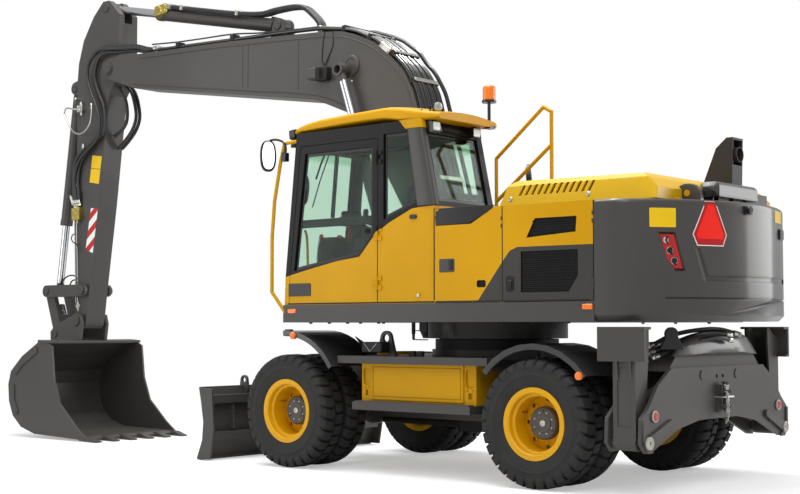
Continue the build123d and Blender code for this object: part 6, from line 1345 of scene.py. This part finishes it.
# Behind the rear axle: a domed cover with its bolts, the hoses and couplings on it, and on the carrier's
# back the red reflectors in pale rings, the strips over the leg pins and the towing pin with its chain.
DOME_LINE = ((0.76, 1.075), (0.66, 1.16), (0.50, 1.225), (0.30, 1.262), (0.05, 1.275), (-0.25, 1.275),
    (-0.42, 1.255), (-0.56, 1.20), (-0.66, 1.12), (-0.72, 1.075))
back_x = touch("stabiliser_carrier", spot(-2.2, 0.0, 1.15), (1, 0, 0))[0].x
cover, cover_bolts, rows = bmesh.new(), bmesh.new(), []
edge_line = [tuple(v.xy) for v in flow([Vector((y, z, 0)) for y, z in DOME_LINE], 0.05)]
edge_line += [(-0.45, 1.075), (-0.15, 1.075), (0.15, 1.075), (0.45, 1.075)]
for share, bulge in ((1.0, 0.0), (1.0, 0.018), (0.97, 0.030), (0.85, 0.050), (0.6, 0.075), (0.3, 0.090)):
    rows.append([cover.verts.new((back_x - 0.002 - bulge, 0.02 + (y - 0.02) * share, 1.12 + (z - 1.12)
        * share)) for y, z in edge_line])
ring_faces(cover, rows, len(edge_line))
cover.faces.new(rows[-1])
for y, z in edge_line[2:-6:3]:
    bolt(cover_bolts, facing(Vector((back_x - 0.030, y * 0.95, z - 0.018)), (-1, 0, 0.2)), 0.009)
put("domed_cover", cover, weight_enamel, "chassis")
put("domed_cover_bolts", cover_bolts, shaft_enamel, "chassis")
hoses("carrier_hoses", [[(-0.80, 0.78, 1.10), (-0.90, 0.62, 1.17), (-0.98, 0.42, 1.235), (-1.02, 0.18, 1.262),
    (-1.07, -0.06, 1.245)], [(-0.85, 0.80, 1.07), (-0.95, 0.62, 1.13), (-1.02, 0.40, 1.195),
    (-1.09, 0.18, 1.225), (-1.11, -0.02, 1.205)], [(-0.76, 0.72, 1.15), (-0.84, 0.50, 1.24),
    (-0.92, 0.20, 1.285), (-0.97, -0.10, 1.29), (-1.05, -0.26, 1.25)]], 0.018, "chassis")
arch = [(0.055 * math.cos(math.radians(a)), 0.055 * math.sin(math.radians(a))) for a in range(-20, 201, 20)]
make("carrier_lifting_eye", shaft_enamel, "chassis", "chassis_grey", (slab, facing(spot(-1.02, 0.83, 1.255),
    (-0.8, 0.6, 0)), arch + [(-0.10, -0.12), (0.10, -0.12)], 0.03, 0.004))
ring_paint = enamel("pale_zinc_ring", "#B8B5AC", 0.4, 0.0, peel_mm=2, peel=0.1)
for side, hand in ((1, "left"), (-1, "right")):
    at = facing(*touch("stabiliser_carrier", spot(-2.2, side * 1.080, 0.622), (1, 0, 0)))
    pin = against("stabiliser_carrier", (-2.2, side * 1.187, 0.423), (1, 0, 0))
    make("reflector_" + hand, red_lens, "chassis", "lamp_amber", (turned, at @ shift(0, 0, 0.004),
        ((0.034, 0.0), (0.034, 0.008), (0.030, 0.011), (0.012, 0.012)), 28))
    end = Vector((-0.36 * side * pin.to_3x3().col[0].y, 0.140))
    aside = Vector((-end.y, end.x)).normalized() * 0.030
    make("leg_pin_strip_" + hand, grey_enamel, "chassis", "chassis_grey",
        (slab, pin, [tuple(p) for p in (aside * -1.5, aside * 1.5, end + aside, end * 1.06, end - aside)],
        0.014, 0.003, 0.01))
    make("reflector_rings_" + hand, ring_paint, "chassis", "rod_chrome",
        (turned, at, ((0.046, -0.003), (0.046, 0.006), (0.042, 0.010), (0.036, 0.010), (0.034, 0.005)), 28),
        (turned, pin, ((0.050, -0.01), (0.050, 0.018), (0.046, 0.022), (0.036, 0.022), (0.034, 0.016),
        (0.016, 0.016), (0.015, 0.012)), 28))

chain = bmesh.new()
pin_x = 0.05 + min(touch("stabiliser_carrier", spot(-2.4, 0.0, z), (1, 0, 0))[0].x for z in (0.58, 0.62, 0.66,
    0.70, 0.74, 0.78))
turned(chain, facing(Vector((pin_x, 0.0, 0.80)), UP), ((0.017, -0.20), (0.017, 0.02), (0.024, 0.022),
    (0.024, 0.034)), 18)
links = flow([Vector((pin_x + x, y, z)) for x, y, z in ((0, 0.03, 0.83), (-0.03, 0.05, 0.76),
    (-0.035, 0.04, 0.66), (-0.02, 0.02, 0.57), (0.01, 0.0, 0.52))], 0.022)
for number, (one, two) in enumerate(zip(links, links[1:])):
    along = (two - one).normalized()
    across = along.orthogonal().normalized()
    if number % 2:
        across = along.cross(across)
    turns = [2 * math.pi * k / 12 for k in range(13)]
    tube(chain, [(one + two) / 2 + along * 0.017 * math.cos(a) + across * 0.010 * math.sin(a) for a in turns],
        0.0036, 6)
tube(chain, [Vector((pin_x + x, y, 0.735)) for x, y in ((0.10, 0.085), (0, 0.085), (-0.02, -0.085))], 0.009,
    8)
put("towing_pin_and_chain", chain, zinc, "chassis")

# Undercarriage side: amber lamps of moulded acrylic on the fenders, and rubber hose loops that run down to
# the axles.
for name, ahead, z in (("fender_lamp_front", 2.684, 1.231), ("fender_lamp_rear", -0.453, 0.926)):
    y = touch("fenders", spot(ahead, 1.8, z), (0, -1, 0))[0].y
    make(name, amber, "chassis", "lamp_amber", (turned, side_place(ahead, z,
        y if abs(y - 1.262) < 0.08 else 1.262), ((0.034, -0.02), (0.034, 0.014), (0.030, 0.020),
        (0.018, 0.024), (0.006, 0.025)), 28))
AXLE_LOOP = ((0.12, 0.30, 1.00), (0.17, 0.38, 0.90), (0.15, 0.48, 0.76), (0.10, 0.56, 0.66))
for side, hand in ((1, "left"), (-1, "right")):
    hoses("axle_hoses_" + hand, [[(end - REAR_AXLE_X + aside + x, side * y, z) for x, y, z in AXLE_LOOP]
        for end in AXLES_X for aside in (-0.05, 0.05)], 0.010, "chassis", ends=False)

# Round the deck: bolts under its edge, the hanging pin and bracket of the swing lock, the fender's end box
# with its braces, and a yellow gusset on the frame.
make("deck_edge_bolts", shaft_enamel, "upper", "ring_steel", *[(bolt, against("turntable", (ahead, y, 0.9),
    UP, (1, 0, 0)), 0.016) for ahead in (2.546, 2.310, 2.084, 1.927, 1.710, 1.654, 0.40, 0.05, -0.30)
    for y in (1.18, -1.18)])
top_z = touch("turntable", spot(1.539, 0.90, 0.9), UP)[0].z
place = facing(spot(1.43, 0.88, 1.265), (0, 1, 0))
make("swing_lock_hanger", shaft_enamel, "upper", "ring_steel", (turned, facing(spot(1.539, 0.90, 1.196), UP),
    ((0.008, 0.0), (0.013, 0.008), (0.013, 0.05), (0.018, 0.055), (0.018, top_z - 1.19)), 14),
    (bent, [(1.542, 0.90, 1.197), (1.46, 0.90, 1.196), (1.372, 0.90, 1.196)], None, 0.005, 6),
    (slab, place, [(0.045, 0.09), (-0.045, 0.09), (-0.045, 0.02), (0.0, -0.055), (0.045, -0.055)], 0.02,
    0.003), (bolt, place @ shift(0.02, -0.02, 0.02), 0.016))
end_box, braces, gusset = bmesh.new(), bmesh.new(), bmesh.new()
for side in (1, -1):
    place = facing(spot(1.865, side * 1.06, 1.128), (0, side, 0))
    slab(end_box, place, rounded(0.235, 0.095, 0.018, 3), 0.045, 0.006, 0.10)
    for one, two in (((-0.085, 0.035), (-0.01, -0.04)), ((-0.01, -0.04), (0.065, 0.035))):
        tube(braces, [place @ Vector((*one, 0.048)), place @ Vector((*two, 0.048))], 0.005, 6)
    slab(gusset, facing(spot(1.84, side * 0.86, 1.078), UP), [(0.0, 0.19), (-0.04 * side, 0.19),
        (-0.12 * side, 0.04), (-0.12 * side, -0.19), (0.0, -0.19)], 0.012, 0.003, 0.02)
put("fender_end_boxes", end_box, shaft_enamel, "chassis")
put("fender_end_braces", braces, zinc, "chassis")
put("frame_gussets", gusset, yellow_enamel, "chassis")

# Right side: the tanks' tread plates with pressed round studs, the fuel and oil caps, and the locks of
# their doors in black polymer.
treads, caps, locks = bmesh.new(), bmesh.new(), bmesh.new()
for ahead in (2.45, 1.75, 1.15):
    for y in (-1.02, -0.72):
        point, normal = touch("right_tank", spot(ahead, y, 3.4), (0, 0, -1))
        if normal.z < 0.9:
            continue
        slab(treads, facing(point, UP, (0, 1, 0)), rounded(0.36, 0.22, 0.02, 3), 0.004, 0.001)
        for i in range(6):
            for j in range(4):
                at = facing(point + Vector((-0.145 + 0.058 * i, -0.075 + 0.050 * j, 0.0035)), UP)
                turned(treads, at, ((0.013, 0), (0.012, 0.004), (0.008, 0.0055), (0.007, 0.003)), 10)
for ahead, y, radius in ((2.05, -0.88, 0.055), (1.42, -0.55, 0.045)):
    point, normal = touch("right_tank", spot(ahead, y, 3.4), (0, 0, -1))
    if normal.z > 0.9:
        place = facing(point, UP)
        turned(caps, place, ((radius * 1.1, -0.002), (radius * 1.1, 0.012), (radius, 0.018), (radius, 0.045),
            (radius * 0.92, 0.055), (0.01, 0.058)), 30)
        slab(caps, place @ shift(0, 0, 0.054), rounded(radius * 1.5, 0.018, 0.006, 3), 0.014, 0.003)
for ahead, z in ((2.40, 1.72), (1.45, 1.90), (0.70, 1.95), (-0.30, 2.16)):
    for node in ("right_tank", "side_boxes"):
        point = touch(node, spot(ahead, -1.8, z), (0, 1, 0))[0]
        if point is not None and abs(point.y) > 1.2:
            place = facing(point, (0, -1, 0))
            slab(locks, place, rounded(0.075, 0.120, 0.018, 4), 0.006, 0.002)
            slab(locks, place @ shift(0, -0.012, 0.006), rounded(0.044, 0.074, 0.014, 4), 0.008, 0.003)
            break
put("tank_tread_plates", treads, shaft_enamel, "upper")
put("tank_caps", caps, black_part, "upper")
put("right_side_locks", locks, black_part, "upper")

# Studio: a pale floor that turns white with distance, a plain sky and five soft lamps, with the camera
# where the photograph was taken.
FLOOR_WHITE, FLOOR_GLOW, LIT_TO, WHITE_FROM = 0.74, 0.40, 4.5, 8.5
floor_mesh = bmesh.new()
bmesh.ops.create_grid(floor_mesh, x_segments=1, y_segments=1, size=60)
floor_data = bpy.data.meshes.new("studio_floor")
floor_mesh.to_mesh(floor_data)
floor_mesh.free()
pale, tree, out, place = start_material("pale_studio_floor")
matt = add(tree, "ShaderNodeBsdfDiffuse", {"Color": (FLOOR_WHITE, FLOOR_WHITE, FLOOR_WHITE, 1)})
glow, far = (add(tree, "ShaderNodeEmission", {"Color": (1, 1, 1, 1), "Strength": power})
    for power in (FLOOR_GLOW, 1.0))
seen = add(tree, "ShaderNodeLightPath").outputs["Is Camera Ray"]
lit = add(tree, "ShaderNodeAddShader", {0: matt.outputs[0], 1: glow.outputs[0]})
away = add(tree, "ShaderNodeVectorMath", {0: place, 1: (1, 1, 0)}, operation="MULTIPLY").outputs[0]
away = add(tree, "ShaderNodeVectorMath", {0: away}, operation="LENGTH").outputs["Value"]
edge = add(tree, "ShaderNodeMapRange", {"Value": away, "From Min": LIT_TO, "From Max": WHITE_FROM}).outputs[0]
near = add(tree, "ShaderNodeMixShader", {0: edge, 1: lit.outputs[0], 2: far.outputs[0]})
shade = add(tree, "ShaderNodeMixShader", {0: seen, 1: matt.outputs[0], 2: near.outputs[0]})
tree.links.new(shade.outputs[0], out.inputs[0])
floor_data.materials.append(pale)
in_scene("studio_floor", floor_data)

world = bpy.data.worlds.new("studio_sky")
bpy.context.scene.world = world
world.use_nodes = True
tree = world.node_tree
tree.nodes.clear()
out = add(tree, "ShaderNodeOutputWorld")
path = add(tree, "ShaderNodeLightPath").outputs
seen = add(tree, "ShaderNodeMath", {0: path["Is Camera Ray"], 1: path["Is Transmission Ray"]},
    operation="MAXIMUM")
plain, white = (add(tree, "ShaderNodeBackground", {"Color": (1, 1, 1, 1), "Strength": power})
    for power in (0.50, 1.0))
sky = add(tree, "ShaderNodeMixShader", {0: seen.outputs[0], 1: plain.outputs[0], 2: white.outputs[0]})
tree.links.new(sky.outputs[0], out.inputs[0])

for name, stand, aim, size, power in (("lamp_left_high", (-9.0, 8.0, 9.5), (-2.0, 0.5, 1.5), 7.0, 500),
        ("lamp_overhead", (0.0, 1.0, 11.0), (0.0, 0.0, 1.0), 9.0, 1180), ("lamp_front", (7.5, 9.0, 4.0),
        (1.5, 0.0, 2.0), 6.0, 220), ("lamp_right_rear", (-9.6, -8.6, 4.5), (-4.7, 0.0, 2.0), 6.0, 420),
        ("lamp_ridge", (-1.2, -0.8, 9.0), (-2.6, 0.2, 2.0), 1.3, 190)):
    lamp = bpy.data.lights.new(name, "AREA")
    lamp.shape = "SQUARE"
    lamp.size = size
    lamp.energy = power
    holder = in_scene(name, lamp)
    holder.location = stand
    holder.rotation_euler = (Vector(aim) - Vector(stand)).to_track_quat("-Z", "Y").to_euler()

camera_data = bpy.data.cameras.new("photograph_view")
camera_data.lens = 63.1
camera_data.sensor_width = 36.0
camera_data.clip_end = 200
camera = in_scene("photograph_view", camera_data)
camera.location = (-9.827, 10.6275, 1.3128)
camera.rotation_euler = (math.radians(90 + 3.253), 0, math.radians(180 + 40.13))
bpy.context.scene.camera = camera
bpy.context.scene.view_settings.view_transform = "Standard"
